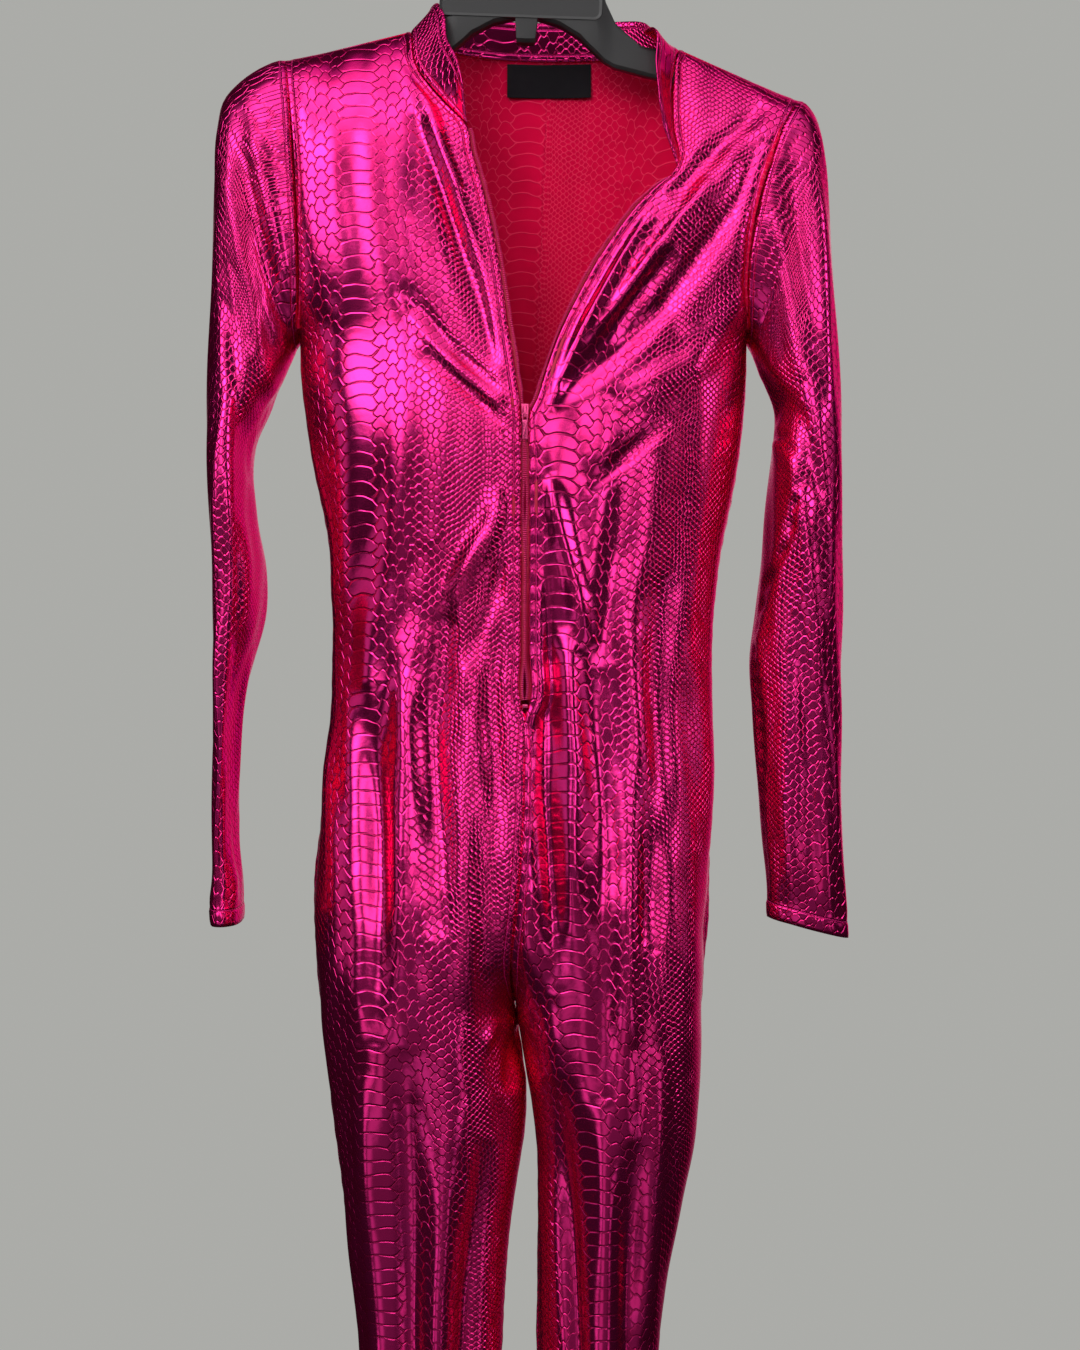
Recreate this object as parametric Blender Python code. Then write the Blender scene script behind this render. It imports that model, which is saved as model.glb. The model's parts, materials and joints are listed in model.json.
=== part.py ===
"""Long-sleeved zip-front unitard hanging on a moulded hanger.

Metres, +Z up. The origin is the inside top of the hanger's hook, where a rail carries it. The garment
faces -Y, and +X is the wearer's left. Tables are in millimetres, measured on the finished garment.
Every cloth piece is a wall with real thickness. Neighbouring pieces share the points of their seam, and
each stops half a seam gap short of it.
"""

import math

import bmesh
import bpy
from mathutils import Matrix, Vector

MM = 0.001
RIGHT, LEFT = -1, 1  # the wearer's sides, as the sign of x

CLOTH = 1.2  # wall of the single cloth
HEM_CLOTH = 2.2  # wall where the hem is turned up
COLLAR_CLOTH = 2.0  # the collar is folded double
SEAM_GAP = 0.3
COLLAR_GAP = 1.2  # the folded collar turns sharply at its seam, so it stops further short
SLEEVE_GAP = 1.4  # and so does the sleeve, under the arm
SQUARENESS = 2.3  # exponent of the rounded sections; 2 would be an ellipse

# Panel sections below the armpit. outer is the side seam. inner is the front's edge: the open zip, the
# closed zip, the centre seam, then the inseam. back_seam is the centre back. lobe runs from 0, one
# round torso, to 1, two separate legs.
SECTION_COLUMNS = (
    "z", "outer_r", "outer_l", "inner_r", "inner_l", "back_seam", "front", "back", "lobe",
)
SECTIONS = [
    (-344, -170.0, 163.5, -13.5, 25.0, 6.0, 66, 50, 0.00),
    (-362, -170.5, 164.2, -10.5, 18.0, 5.0, 69, 51, 0.00),
    (-382, -169.5, 164.4, -7.5, 11.5, 5.0, 72, 52, 0.00),
    (-398, -166.7, 162.0, -5.3, 6.5, 4.0, 74.6, 52, 0.00),
    (-407, -165.4, 161.2, -4.3, 1.7, 4.0, 75, 52, 0.00),
    (-435, -161.0, 158.7, -4.3, 1.7, 3.0, 75, 52, 0.00),
    (-470, -154.0, 152.5, -4.3, 1.7, 2.0, 73, 52, 0.00),
    (-505, -148.0, 145.0, -4.3, 1.7, 1.0, 71, 52, 0.00),
    (-540, -144.3, 140.3, -4.3, 1.7, 0.0, 70, 51, 0.00),
    (-578, -145.0, 137.7, -4.3, 1.7, -1.0, 69, 51, 0.00),
    (-614, -147.2, 137.5, -4.3, 1.7, -1.3, 70, 52, 0.00),
    (-622, -147.8, 137.6, -1.4, -1.4, -1.4, 70, 53, 0.02),
    (-655, -150.8, 138.2, -1.8, -1.8, -1.8, 72, 56, 0.08),
    (-695, -154.9, 138.0, -2.5, -2.5, -2.5, 74, 60, 0.20),
    (-735, -158.8, 137.2, -5.0, -5.0, -5.0, 76, 63, 0.38),
    (-770, -161.0, 135.6, -8.5, -8.5, -7.5, 77, 65, 0.60),
    (-800, -159.0, 133.4, -11.5, -11.5, -9.0, 77, 66, 0.80),
    (-822, -157.0, 132.0, -11.0, -11.0, -9.5, 76, 66, 0.94),
    (-835, -156.0, 131.2, -9.5, -9.5, -9.5, 75, 65, 0.985),
    (-841, -155.5, 130.8, -9.0, -9.0, -9.0, 75, 65, 1.00),
    (-870, -152.0, 129.4, -4.4, -3.4, 0.0, 71, 61, 1.00),
    (-900, -148.7, 128.4, -1.2, 2.5, 0.0, 68, 60, 1.00),
    (-940, -144.8, 125.2, -3.4, 7.8, 0.0, 63, 57, 1.00),
    (-990, -138.2, 114.7, -11.8, 8.0, 0.0, 58, 54, 1.00),
    (-1050, -130.0, 103.8, -16.5, 8.6, 0.0, 54, 51, 1.00),
    (-1120, -124.5, 97.0, -20.0, 8.4, 0.0, 52, 50, 1.00),
    (-1210, -120.0, 92.5, -24.0, 8.0, 0.0, 50, 49, 1.00),
    (-1320, -115.0, 89.0, -29.0, 10.0, 0.0, 45, 45, 1.00),
    (-1430, -111.5, 88.0, -33.0, 14.0, 0.0, 40, 40, 1.00),
    (-1525, -110.0, 89.5, -36.0, 17.5, 0.0, 36, 36, 1.00),
    (-1540, -110.0, 90.0, -36.0, 18.0, 0.0, 36, 36, 1.00),
]
CROTCH_Z = -841
ZIP_TOP_Z, ZIP_END_Z = -407, -614

# Armholes: top on the shoulder, underarm point, half depths, and how far each branch is scooped in.
ARMHOLE_COLUMNS = ("top_x", "top_z", "under_x", "under_z", "front", "back", "scoop_f", "scoop_b")
ARMHOLES = {
    RIGHT: (-180.5, -131.6, -170.0, -344.0, 46, 42, 6, 4),
    LEFT: (203.0, -161.7, 163.5, -344.0, 46, 42, 16, 5),
}
# Heights of the panel rows above the armpit, as a share of the way to the shoulder. The sleeve's ring
# has the same shares, so that both sides of the armhole seam share their points.
UPPER_SHARES = (0.0, 0.11, 0.22, 0.33, 0.44, 0.56, 0.67, 0.78, 0.89, 0.965, 1.0)
NECK_CORNER_ROW = 6  # where the open front edge ends and the neck seam begins
# The front's inner edge, x, y, z, at each share above: up the open zip, then round the neck.
FRONT_EDGES = {
    RIGHT: [(-13.5, -66.0, -344), (-17.0, -64.0, -318), (-21.5, -60.5, -288), (-27.5, -57.0, -259),
            (-34.0, -53.5, -233), (-40.0, -50.0, -212), (-44.5, -47.0, -193), (-64.0, -38.0, -171),
            (-84.0, -24.0, -140), (-87.2, -10.5, -117.0), (-88.6, 0.0, -109)],
    LEFT: [(25.0, -66.0, -344), (35.0, -65.0, -324), (47.5, -62.0, -300), (61.5, -59.0, -278),
           (77.5, -56.0, -256), (93.5, -52.0, -239), (111.0, -48.0, -223), (107.5, -37.0, -194),
           (108.0, -22.0, -160), (112.5, -11.0, -131), (114.9, 0.0, -122.6)],
}
BACK_NECK = (16.4, 45.0, -117.0)
FRONT_COLUMNS = 12
SHOULDER_COLUMNS, NECK_COLUMNS = 6, 5  # the back's top edge: shoulder seam, then half the neck
ARM_ROUND = 9.0  # the cloth's radius over the hanger's arm

# Sleeve rings: outer and inner point in x and z, then the half depths in front and behind.
SLEEVES = {
    RIGHT: [(-180.5, -131.6, -170.0, -344.0, 46, 42), (-200.0, -139.5, -172.2, -345.2, 46, 42),
            (-216.5, -151.0, -173.6, -347.0, 46, 43), (-227.0, -163.0, -174.8, -349.5, 46, 43),
            (-232.5, -183.0, -176.0, -352.5, 47, 44), (-234.5, -222.0, -177.6, -356.5, 47, 44),
            (-236.3, -262.0, -179.7, -361.0, 46, 44), (-237.4, -310.0, -182.6, -368.0, 46, 44),
            (-237.8, -352.0, -187.0, -377.0, 48, 45), (-237.6, -396.0, -198.0, -396.0, 52, 48),
            (-237.0, -425.0, -207.3, -425.0, 55, 50), (-236.2, -470.0, -206.0, -470.0, 55, 50),
            (-235.5, -515.0, -199.3, -515.0, 50, 46), (-235.2, -545.0, -199.6, -545.0, 48, 44),
            (-234.9, -582.0, -207.6, -582.0, 46, 42), (-233.5, -620.0, -215.0, -620.0, 42, 38),
            (-233.2, -670.0, -218.1, -670.0, 38, 34), (-234.2, -720.0, -218.9, -720.0, 35, 32),
            (-235.2, -745.0, -215.7, -745.0, 34, 31), (-237.0, -766.0, -215.1, -766.0, 34, 31),
            (-236.2, -779.0, -215.5, -779.0, 34, 31)],
    LEFT: [(203.0, -161.7, 163.5, -344.0, 46, 42), (209.0, -166.0, 165.7, -345.2, 46, 42),
           (215.0, -173.0, 167.0, -347.0, 46, 42), (219.5, -184.0, 168.2, -349.5, 46, 42),
           (223.5, -205.0, 169.3, -352.5, 46, 42), (226.5, -238.0, 170.8, -356.5, 46, 42),
           (228.5, -275.0, 172.7, -361.0, 46, 43), (231.0, -320.0, 175.2, -368.0, 47, 44),
           (232.2, -358.0, 179.5, -377.0, 49, 46), (233.2, -398.0, 186.0, -397.0, 51, 47),
           (233.9, -425.0, 184.2, -425.0, 52, 48), (235.4, -470.0, 179.7, -470.0, 50, 46),
           (236.2, -515.0, 175.9, -515.0, 46, 42), (236.2, -545.0, 172.3, -545.0, 43, 39),
           (235.6, -582.0, 167.8, -582.0, 40, 36), (236.2, -620.0, 170.6, -620.0, 38, 34),
           (236.2, -670.0, 174.2, -670.0, 35, 32), (237.5, -720.0, 177.5, -718.0, 31, 28),
           (238.6, -752.0, 179.7, -745.0, 26, 24), (239.8, -779.0, 180.3, -763.0, 21, 20),
           (240.5, -791.0, 180.5, -775.0, 19, 18)],
}

# Collar: the way the band stands from the neck seam, front end first, then round to the centre back.
COLLAR_HEIGHT = 30.0
COLLAR_ROWS = 3
COLLAR_STAND = {
    RIGHT: [(-0.12, -0.30, 0.94), (0.40, -0.25, 0.88), (0.78, -0.15, 0.61), (0.80, -0.06, 0.60),
            (0.70, 0.00, 0.71), (0.35, 0.12, 0.93), (0.18, 0.10, 0.97), (0.08, 0.06, 0.99),
            (0.03, 0.03, 1.00), (0.00, 0.00, 1.00)],
    LEFT: [(-0.42, -0.15, 0.90), (-0.37, -0.70, 0.60), (-0.42, -0.80, 0.42), (-0.62, -0.60, 0.50),
           (-0.90, -0.10, 0.42), (-0.60, 0.15, 0.78), (-0.30, 0.12, 0.94), (-0.12, 0.08, 0.98),
           (-0.04, 0.04, 1.00), (0.00, 0.00, 1.00)],
}

LABEL_WIDTH, LABEL_HEIGHT, LABEL_THICK = 65.0, 26.0, 1.0

# The largest folds of the front: from x, z to x, z, height along the wall's normal, and half width.
FRONT_FOLDS = {
    RIGHT: [(-50, -258, -14, -385, 5.0, 9), (-40, -262, -17, -365, -6.0, 8),
            (-62, -290, -12, -402, -5.0, 9), (-112, -620, -108, -850, -5.0, 14),
            (-60, -500, -66, -760, -4.0, 13), (-90, -860, -82, -1180, -4.0, 13)],
    LEFT: [(78, -290, 10, -395, 6.0, 9), (78, -335, 12, -408, -6.0, 11),
           (170, -178, 100, -300, -6.0, 13), (130, -245, 70, -310, 4.0, 11),
           (12, -520, 14, -820, -6.0, 9), (70, -640, 60, -900, -4.0, 14),
           (30, -880, 40, -1160, -5.0, 10), (100, -520, 92, -760, -4.0, 13)],
}
BACK_FOLDS = {
    RIGHT: [(-60, -190, -40, -420, 4.0, 15), (-90, -560, -84, -860, -5.0, 15),
            (-40, -600, -52, -830, 4.0, 13), (-80, -900, -74, -1250, -4.0, 13)],
    LEFT: [(80, -210, 55, -430, 4.0, 15), (84, -580, 76, -880, -5.0, 15),
           (36, -620, 46, -840, 4.0, 13), (58, -910, 54, -1260, -4.0, 13)],
}
FOLD_EDGE = 14.0  # folds die out this close to a seam

# Zip: each half has a tape behind the front's edge and a row of teeth beside it.
TAPE_GAP, TAPE_THICK, TAPE_REACH = 0.6, 1.0, 6.0
TEETH_START, TEETH_END, TEETH_THICK = 0.4, 2.85, 2.8
ZIP_END_SHORT = 0.07  # the tapes stop this share of a row above the zip's end
ZIP_X = -1.3
SLIDER_PLATE, SLIDER_WIDTH = 1.0, 5.2
SLIDER_TOP, SLIDER_BOTTOM = -400.5, -411.0
CROWN_WIDTH, CROWN_WALL, CROWN_ROOM = 2.0, 0.9, 2.3
PULL_WIDTH, PULL_LENGTH, PULL_THICK = 4.2, 19.0, 1.0
PIVOT_Z, PIVOT_OUT = -407.6, 1.3  # pull's axle: height, and distance in front of the slider's face

# Hanger, before its tilt: distance from its middle, upper edge, lower edge and half thickness.
HANGER_TILT = math.radians(2.0)  # the wearer's left arm hangs lower
HANGER_MIDDLE = 2.7  # the moulded body sits this far to the left of the hook's middle
HANGER_PROFILE = [
    (0.0, -68.0, -118.5, 6.0), (7.0, -68.0, -118.0, 6.0), (8.5, -68.0, -100.0, 6.0),
    (25.0, -68.0, -104.5, 6.0), (41.0, -68.5, -113.5, 6.0), (48.0, -69.0, -120.5, 6.0),
    (55.0, -72.0, -126.5, 6.0), (59.5, -86.0, -130.5, 4.6), (67.0, -101.0, -134.5, 4.0),
    (86.0, -117.0, -139.0, 4.0), (110.0, -121.5, -144.0, 4.0), (147.0, -134.0, -154.5, 4.0),
    (178.0, -146.0, -164.0, 4.0), (195.0, -154.0, -170.0, 4.0), (203.0, -160.0, -172.0, 3.6),
    (207.0, -165.0, -171.0, 2.6),
]
HOOK_ROD = 3.6
HOOK_BEND = 19.0  # the rail's room: inner radius of the hook
HOOK_PATH = [(2.7, -74.0), (2.7, -60.0), (5.5, -50.0), (13.5, -40.5)]
HOOK_OPEN_TO = math.radians(205)  # the free end of the hook, from +X round over the top

PINK = (0.80, 0.01, 0.22, 1.0)
DEEP_PINK = (0.55, 0.01, 0.14, 1.0)
METAL_PINK = (0.75, 0.05, 0.20, 1.0)
BLACK = (0.012, 0.012, 0.013, 1.0)
CHARCOAL = (0.035, 0.036, 0.038, 1.0)


def material(name, colour, metallic, roughness):
    """Return a new Principled material."""
    made = bpy.data.materials.new(name)
    made.use_nodes = True
    shader = made.node_tree.nodes["Principled BSDF"]
    shader.inputs["Base Color"].default_value = colour
    shader.inputs["Metallic"].default_value = metallic
    shader.inputs["Roughness"].default_value = roughness
    made.diffuse_color = colour
    return made


def power(value, exponent):
    """Raise a value's size to the exponent and keep its sign."""
    return math.copysign(abs(value) ** exponent, value)


def ease(share):
    """Smooth step from 0 to 1."""
    share = min(max(share, 0.0), 1.0)
    return share * share * (3.0 - 2.0 * share)


def column(row, name):
    """Return one named column of a section row."""
    return row[SECTION_COLUMNS.index(name)]


def side_column(row, side, stem):
    """Return a column that has one value for each side."""
    return column(row, stem + ("_l" if side == LEFT else "_r"))


def end_angle(side, row, edge, middle):
    """Angle round the lobe, from the side seam, at which the panel reaches its inner edge."""
    outer = side_column(row, side, "outer")
    half = abs(outer - middle)
    centre = middle + side * column(row, "lobe") * half / 2.0
    radius = half * (1.0 - column(row, "lobe") / 2.0)
    cosine = power((edge - centre) / (side * radius), SQUARENESS / 2.0)
    return math.acos(min(max(cosine, -1.0), 1.0)), centre, radius


def section_point(side, row, share, back):
    """Point of a level section, from the side seam at share 0 to the inner edge at share 1."""
    below = column(row, "z") <= CROTCH_Z
    depth = column(row, "back") if back else -column(row, "front")

    def reach(which):
        edge = side_column(row, which, "inner")
        if back and not below:
            edge = column(row, "back_seam")
        middle = (column(row, "inner_r") + column(row, "inner_l")) / 2.0
        middle = edge if below or back else middle
        return end_angle(which, row, edge, middle)

    angle_end, centre, radius = reach(side)
    angle = angle_end * share
    x = centre + side * radius * power(math.cos(angle), 2.0 / SQUARENESS)
    y = depth * power(math.sin(angle), 2.0 / SQUARENESS)
    if not below:
        ends = [depth * power(math.sin(reach(which)[0]), 2.0 / SQUARENESS) for which in (RIGHT, LEFT)]
        own = depth * power(math.sin(angle_end), 2.0 / SQUARENESS)
        y += (sum(ends) / 2.0 - own) * ease(share) ** 3
    return Vector((x, y, column(row, "z")))


def armhole_point(side, share, back):
    """Point of the armhole seam, from the underarm at share 0 to the shoulder at share 1."""
    top_x, top_z, under_x, under_z, front_depth, back_depth, scoop_f, scoop_b = ARMHOLES[side]
    top, under = Vector((top_x, 0.0, top_z)), Vector((under_x, 0.0, under_z))
    angle = math.pi * (1.0 - share)
    middle = (top + under) / 2.0
    point = middle + (top - middle) * power(math.cos(angle), 2.0 / SQUARENESS)
    bulge = power(math.sin(angle), 2.0 / SQUARENESS)
    point.y = (back_depth if back else -front_depth) * bulge
    point.x -= side * (scoop_b if back else scoop_f) * math.sin(angle) ** 2
    return point


def coons(outer, inner, bottom, top, share_u, share_v):
    """Blend four edges into one patch."""
    ruled_u = outer.lerp(inner, share_u)
    ruled_v = bottom[0].lerp(top[0], share_v)
    corners = bottom[1].lerp(bottom[2], share_u).lerp(top[1].lerp(top[2], share_u), share_v)
    return ruled_u + ruled_v - corners


def shoulder_round(side, point, front_edge):
    """Keep the cloth clear of the hanger's arm, just under the shoulder seam."""
    top = Vector((ARMHOLES[side][0], 0.0, ARMHOLES[side][1]))
    neck = Vector(FRONT_EDGES[side][-1])
    along = min(max((point.x - top.x) / (neck.x - top.x), 0.0), 1.0)
    drop = max(top.lerp(neck, along).z - point.z, 0.0)
    least = ARM_ROUND * math.sqrt(max(1.0 - (1.0 - min(drop / ARM_ROUND, 1.0)) ** 2, 0.0))
    if front_edge:
        point.y = min(point.y, -least)
    else:
        point.y = max(point.y, least)


def front_rows(side):
    """Points of one front, row by row from the shoulder to the hem, side seam first."""
    rows = []
    shares = [i / FRONT_COLUMNS for i in range(FRONT_COLUMNS + 1)]
    armhole_top = Vector((ARMHOLES[side][0], 0.0, ARMHOLES[side][1]))
    neck_point = Vector(FRONT_EDGES[side][-1])
    first = SECTIONS[0]
    low_out, low_in = section_point(side, first, 0.0, False), section_point(side, first, 1.0, False)
    for row_number in range(len(UPPER_SHARES) - 1, 0, -1):
        share_v = UPPER_SHARES[row_number]
        outer = armhole_point(side, share_v, False)
        inner = Vector(FRONT_EDGES[side][row_number])
        row = []
        for number, share_u in enumerate(shares):
            bottom = (section_point(side, first, share_u, False), low_out, low_in)
            top = (armhole_top.lerp(neck_point, share_u), armhole_top, neck_point)
            point = coons(outer, inner, bottom, top, share_u, share_v)
            if 0 < number < FRONT_COLUMNS:
                shoulder_round(side, point, True)
            row.append(point)
        rows.append(row)
    for section in SECTIONS:
        rows.append([section_point(side, section, share, False) for share in shares])
    return rows


def back_top(side):
    """The back's top edge: along the shoulder seam, then round the back of the neck."""
    armhole_top = Vector((ARMHOLES[side][0], 0.0, ARMHOLES[side][1]))
    neck_point = Vector(FRONT_EDGES[side][-1])
    centre = Vector(BACK_NECK)
    points = [armhole_top.lerp(neck_point, i / SHOULDER_COLUMNS) for i in range(SHOULDER_COLUMNS)]
    for i in range(NECK_COLUMNS + 1):
        turn = math.pi / 2.0 * i / NECK_COLUMNS
        x = neck_point.x + (centre.x - neck_point.x) * (1.0 - math.cos(turn))
        z = neck_point.z + (centre.z - neck_point.z) * math.sin(turn)
        points.append(Vector((x, centre.y * math.sin(turn), z)))
    return points


def back_rows(side):
    """Points of one back, row by row from the shoulder and neck to the hem, side seam first."""
    top_points = back_top(side)
    last = len(top_points) - 1
    shares = [i / last for i in range(last + 1)]
    first = SECTIONS[0]
    low_out, low_in = section_point(side, first, 0.0, True), section_point(side, first, 1.0, True)
    rows = []
    for share_v in reversed(UPPER_SHARES[1:]):
        outer = armhole_point(side, share_v, True)
        inner = low_in.lerp(top_points[last], share_v)
        row = []
        for number, share_u in enumerate(shares):
            bottom = (section_point(side, first, share_u, True), low_out, low_in)
            top = (top_points[number], top_points[0], top_points[last])
            point = coons(outer, inner, bottom, top, share_u, share_v)
            if 0 < number <= SHOULDER_COLUMNS:
                shoulder_round(side, point, False)
            row.append(point)
        rows.append(row)
    for section in SECTIONS:
        rows.append([section_point(side, section, share, True) for share in shares])
    return rows


def sleeve_rows(side):
    """Rings of one sleeve from the armhole to the cuff, each from the shoulder round the front."""
    shares = list(reversed(UPPER_SHARES)) + list(UPPER_SHARES[1:-1])
    turn_back = len(UPPER_SHARES)
    rows = []
    for number, (out_x, out_z, in_x, in_z, front_depth, back_depth) in enumerate(SLEEVES[side]):
        outer, inner = Vector((out_x, 0.0, out_z)), Vector((in_x, 0.0, in_z))
        middle = (outer + inner) / 2.0
        row = []
        for place, share in enumerate(shares):
            back = place >= turn_back
            if number == 0:
                row.append(armhole_point(side, share, back))
                continue
            angle = math.pi * (1.0 - share)
            point = middle + (outer - middle) * power(math.cos(angle), 2.0 / SQUARENESS)
            bulge = power(math.sin(angle), 2.0 / SQUARENESS)
            point.y = (back_depth if back else -front_depth) * bulge
            scoop = (ARMHOLES[side][7] if back else ARMHOLES[side][6]) * max(1.0 - number / 3.0, 0.0)
            point.x -= side * scoop * math.sin(angle) ** 2
            row.append(point)
        rows.append(row)
    return rows


def neck_seam(side):
    """The neck seam of one side, from the front corner over the shoulder to the centre back."""
    front = [Vector(point) for point in FRONT_EDGES[side][NECK_CORNER_ROW:]]
    return front + back_top(side)[SHOULDER_COLUMNS + 1:]


def collar_rows():
    """Points of the collar, from the seam up to the free edge, right front end first."""
    rows = []
    for step in range(COLLAR_ROWS + 1):
        rise = COLLAR_HEIGHT * step / COLLAR_ROWS
        halves = []
        for side in (RIGHT, LEFT):
            stands = [Vector(stand).normalized() for stand in COLLAR_STAND[side]]
            halves.append([p + s * rise for p, s in zip(neck_seam(side), stands, strict=True)])
        rows.append(halves[0] + list(reversed(halves[1][:-1])))
    return rows


def cross_normals(rows, closed):
    """Normal at each point of a grid, from its neighbours, not yet turned outwards."""
    height, width = len(rows), len(rows[0])
    normals = []
    for j in range(height):
        line = []
        for i in range(width):
            before = rows[j][(i - 1) % width] if closed or i > 0 else rows[j][i]
            after = rows[j][(i + 1) % width] if closed or i < width - 1 else rows[j][i]
            above, below = rows[max(j - 1, 0)][i], rows[min(j + 1, height - 1)][i]
            line.append((after - before).cross(below - above).normalized())
        normals.append(line)
    return normals


def fold_offset(point, folds):
    """Height of the folds at a point, seen from the front."""
    total = 0.0
    for x0, z0, x1, z1, rise, half_width in folds:
        start, run = Vector((x0, z0)), Vector((x1 - x0, z1 - z0))
        here = Vector((point.x, point.z)) - start
        along = min(max(here.dot(run) / run.length_squared, 0.0), 1.0)
        away = (here - run * along).length
        ends = math.sqrt(max(math.sin(math.pi * min(max(along, 0.0), 1.0)), 0.0))
        total += rise * ends * math.exp(-((away / half_width) ** 2))
    return total


class ClothGrid:
    """A grid of points on a piece's outer face, and what turns it into a wall."""

    def __init__(self, name, rows, finish, closed=False, folds=(), thickness=CLOTH, hem_rows=0,
                 gap=SEAM_GAP):
        self.name, self.rows, self.finish, self.gap = name, rows, finish, gap
        self.closed, self.thickness, self.hem_rows = closed, thickness, hem_rows
        self.normals = cross_normals(rows, closed)
        outward = 0.0
        for j, row in enumerate(rows):
            for i, point in enumerate(row):
                outward += self.normals[j][i].dot(point - self.inside(j))
        if outward < 0:
            self.normals = [[-normal for normal in line] for line in self.normals]
            self.flipped = True
        else:
            self.flipped = False
        if folds:
            self.raise_folds(folds)

    def inside(self, j):
        """A point inside the garment at one row's height."""
        row = self.rows[j]
        mean = sum(row, Vector()) / len(row)
        return mean if self.closed else Vector((mean.x, 0.0, mean.z - 20.0))

    def raise_folds(self, folds):
        """Lift the inner points into folds; seams stay as they are."""
        height, width = len(self.rows), len(self.rows[0])
        lifted = []
        for j, row in enumerate(self.rows):
            line = []
            for i, point in enumerate(row):
                edge = min((point - row[0]).length, (point - row[-1]).length - TAPE_REACH)
                edge = min(edge, (point - self.rows[0][i]).length)
                hold = ease(edge / FOLD_EDGE) if 0 < i < width - 1 and 0 < j < height - 1 else 0.0
                line.append(point + self.normals[j][i] * fold_offset(point, folds) * hold)
            lifted.append(line)
        self.rows = lifted

    def border(self):
        """Row and column numbers of the points on seams and free edges."""
        height, width = len(self.rows), len(self.rows[0])
        for j in range(height):
            for i in range(width):
                edge_row = j in (0, height - 1)
                edge_column = not self.closed and i in (0, width - 1)
                if edge_row or edge_column:
                    yield j, i, edge_row, edge_column

    def seam_key(self, j, i):
        """Same key for points that neighbouring pieces share."""
        return tuple(round(value * 20.0) for value in self.rows[j][i])

    def add_seam_normals(self, shared):
        for j, i, _, _ in self.border():
            shared.setdefault(self.seam_key(j, i), []).append(self.normals[j][i])

    def take_seam_normals(self, shared):
        """Mitre the wall's ends: both sides of a seam use one direction."""
        for j, i, _, _ in self.border():
            total = sum(shared[self.seam_key(j, i)], Vector())
            if total.length > 1e-6:
                self.normals[j][i] = total.normalized()
        if self.closed:
            return
        top = self.normals[0]
        for i in range(1, len(top) - 1):
            if len(shared[self.seam_key(0, i)]) == 1:
                top[i] = (top[i - 1] + top[i + 1]).normalized()

    def pull_back(self):
        """Stop half a seam gap short of every border."""
        height, width = len(self.rows), len(self.rows[0])
        moved = {}
        for j, i, edge_row, edge_column in self.border():
            point = self.rows[j][i].copy()
            if edge_row:
                inward = self.rows[j + 1 if j == 0 else j - 1][i] - self.rows[j][i]
                point += inward.normalized() * self.gap / 2.0
            if edge_column:
                inward = self.rows[j][i + 1 if i == 0 else i - 1] - self.rows[j][i]
                point += inward.normalized() * self.gap / 2.0
            moved[j, i] = point
        for (j, i), point in moved.items():
            self.rows[j][i] = point

    def wall(self, j):
        """Wall thickness at one row."""
        return HEM_CLOTH if j >= len(self.rows) - self.hem_rows else self.thickness

    def build(self):
        """Make the closed wall as one object."""
        height, width = len(self.rows), len(self.rows[0])
        mesh = bmesh.new()
        outer, inner = [], []
        for j, row in enumerate(self.rows):
            outer.append([mesh.verts.new(point * MM) for point in row])
            wall = self.wall(j)
            inner.append([mesh.verts.new((p - n * wall) * MM) for p, n in zip(row, self.normals[j])])
        columns = width if self.closed else width - 1
        for j in range(height - 1):
            for i in range(columns):
                k = (i + 1) % width
                mesh.faces.new((outer[j][i], outer[j + 1][i], outer[j + 1][k], outer[j][k]))
                mesh.faces.new((inner[j][i], inner[j][k], inner[j + 1][k], inner[j + 1][i]))
        for i in range(columns):
            k = (i + 1) % width
            mesh.faces.new((outer[0][i], outer[0][k], inner[0][k], inner[0][i]))
            mesh.faces.new((outer[-1][k], outer[-1][i], inner[-1][i], inner[-1][k]))
        if not self.closed:
            for j in range(height - 1):
                mesh.faces.new((outer[j + 1][0], outer[j][0], inner[j][0], inner[j + 1][0]))
                mesh.faces.new((outer[j][-1], outer[j + 1][-1], inner[j + 1][-1], inner[j][-1]))
        return finish_mesh(self.name, mesh, self.finish)


def finish_mesh(name, mesh, finish, smooth=True):
    """Turn a bmesh into a named object with one material and faces that look outwards."""
    bmesh.ops.recalc_face_normals(mesh, faces=mesh.faces)
    if mesh.calc_volume(signed=True) < 0:
        bmesh.ops.reverse_faces(mesh, faces=mesh.faces)
    data = bpy.data.meshes.new(name)
    mesh.to_mesh(data)
    mesh.free()
    made = bpy.data.objects.new(name, data)
    bpy.context.collection.objects.link(made)
    data.materials.append(finish)
    if smooth:
        for polygon in data.polygons:
            polygon.use_smooth = True
    return made


def loft(name, rings, finish, smooth=True):
    """Close a run of rings, each a list of points, with a cap at both ends."""
    mesh = bmesh.new()
    lines = [[mesh.verts.new(Vector(point) * MM) for point in ring] for ring in rings]
    around = len(lines[0])
    for first, second in zip(lines, lines[1:]):
        for i in range(around):
            k = (i + 1) % around
            mesh.faces.new((first[i], first[k], second[k], second[i]))
    mesh.faces.new(list(reversed(lines[0])))
    mesh.faces.new(lines[-1])
    bmesh.ops.triangulate(mesh, faces=[face for face in mesh.faces if len(face.verts) > 4])
    return finish_mesh(name, mesh, finish, smooth)


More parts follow.
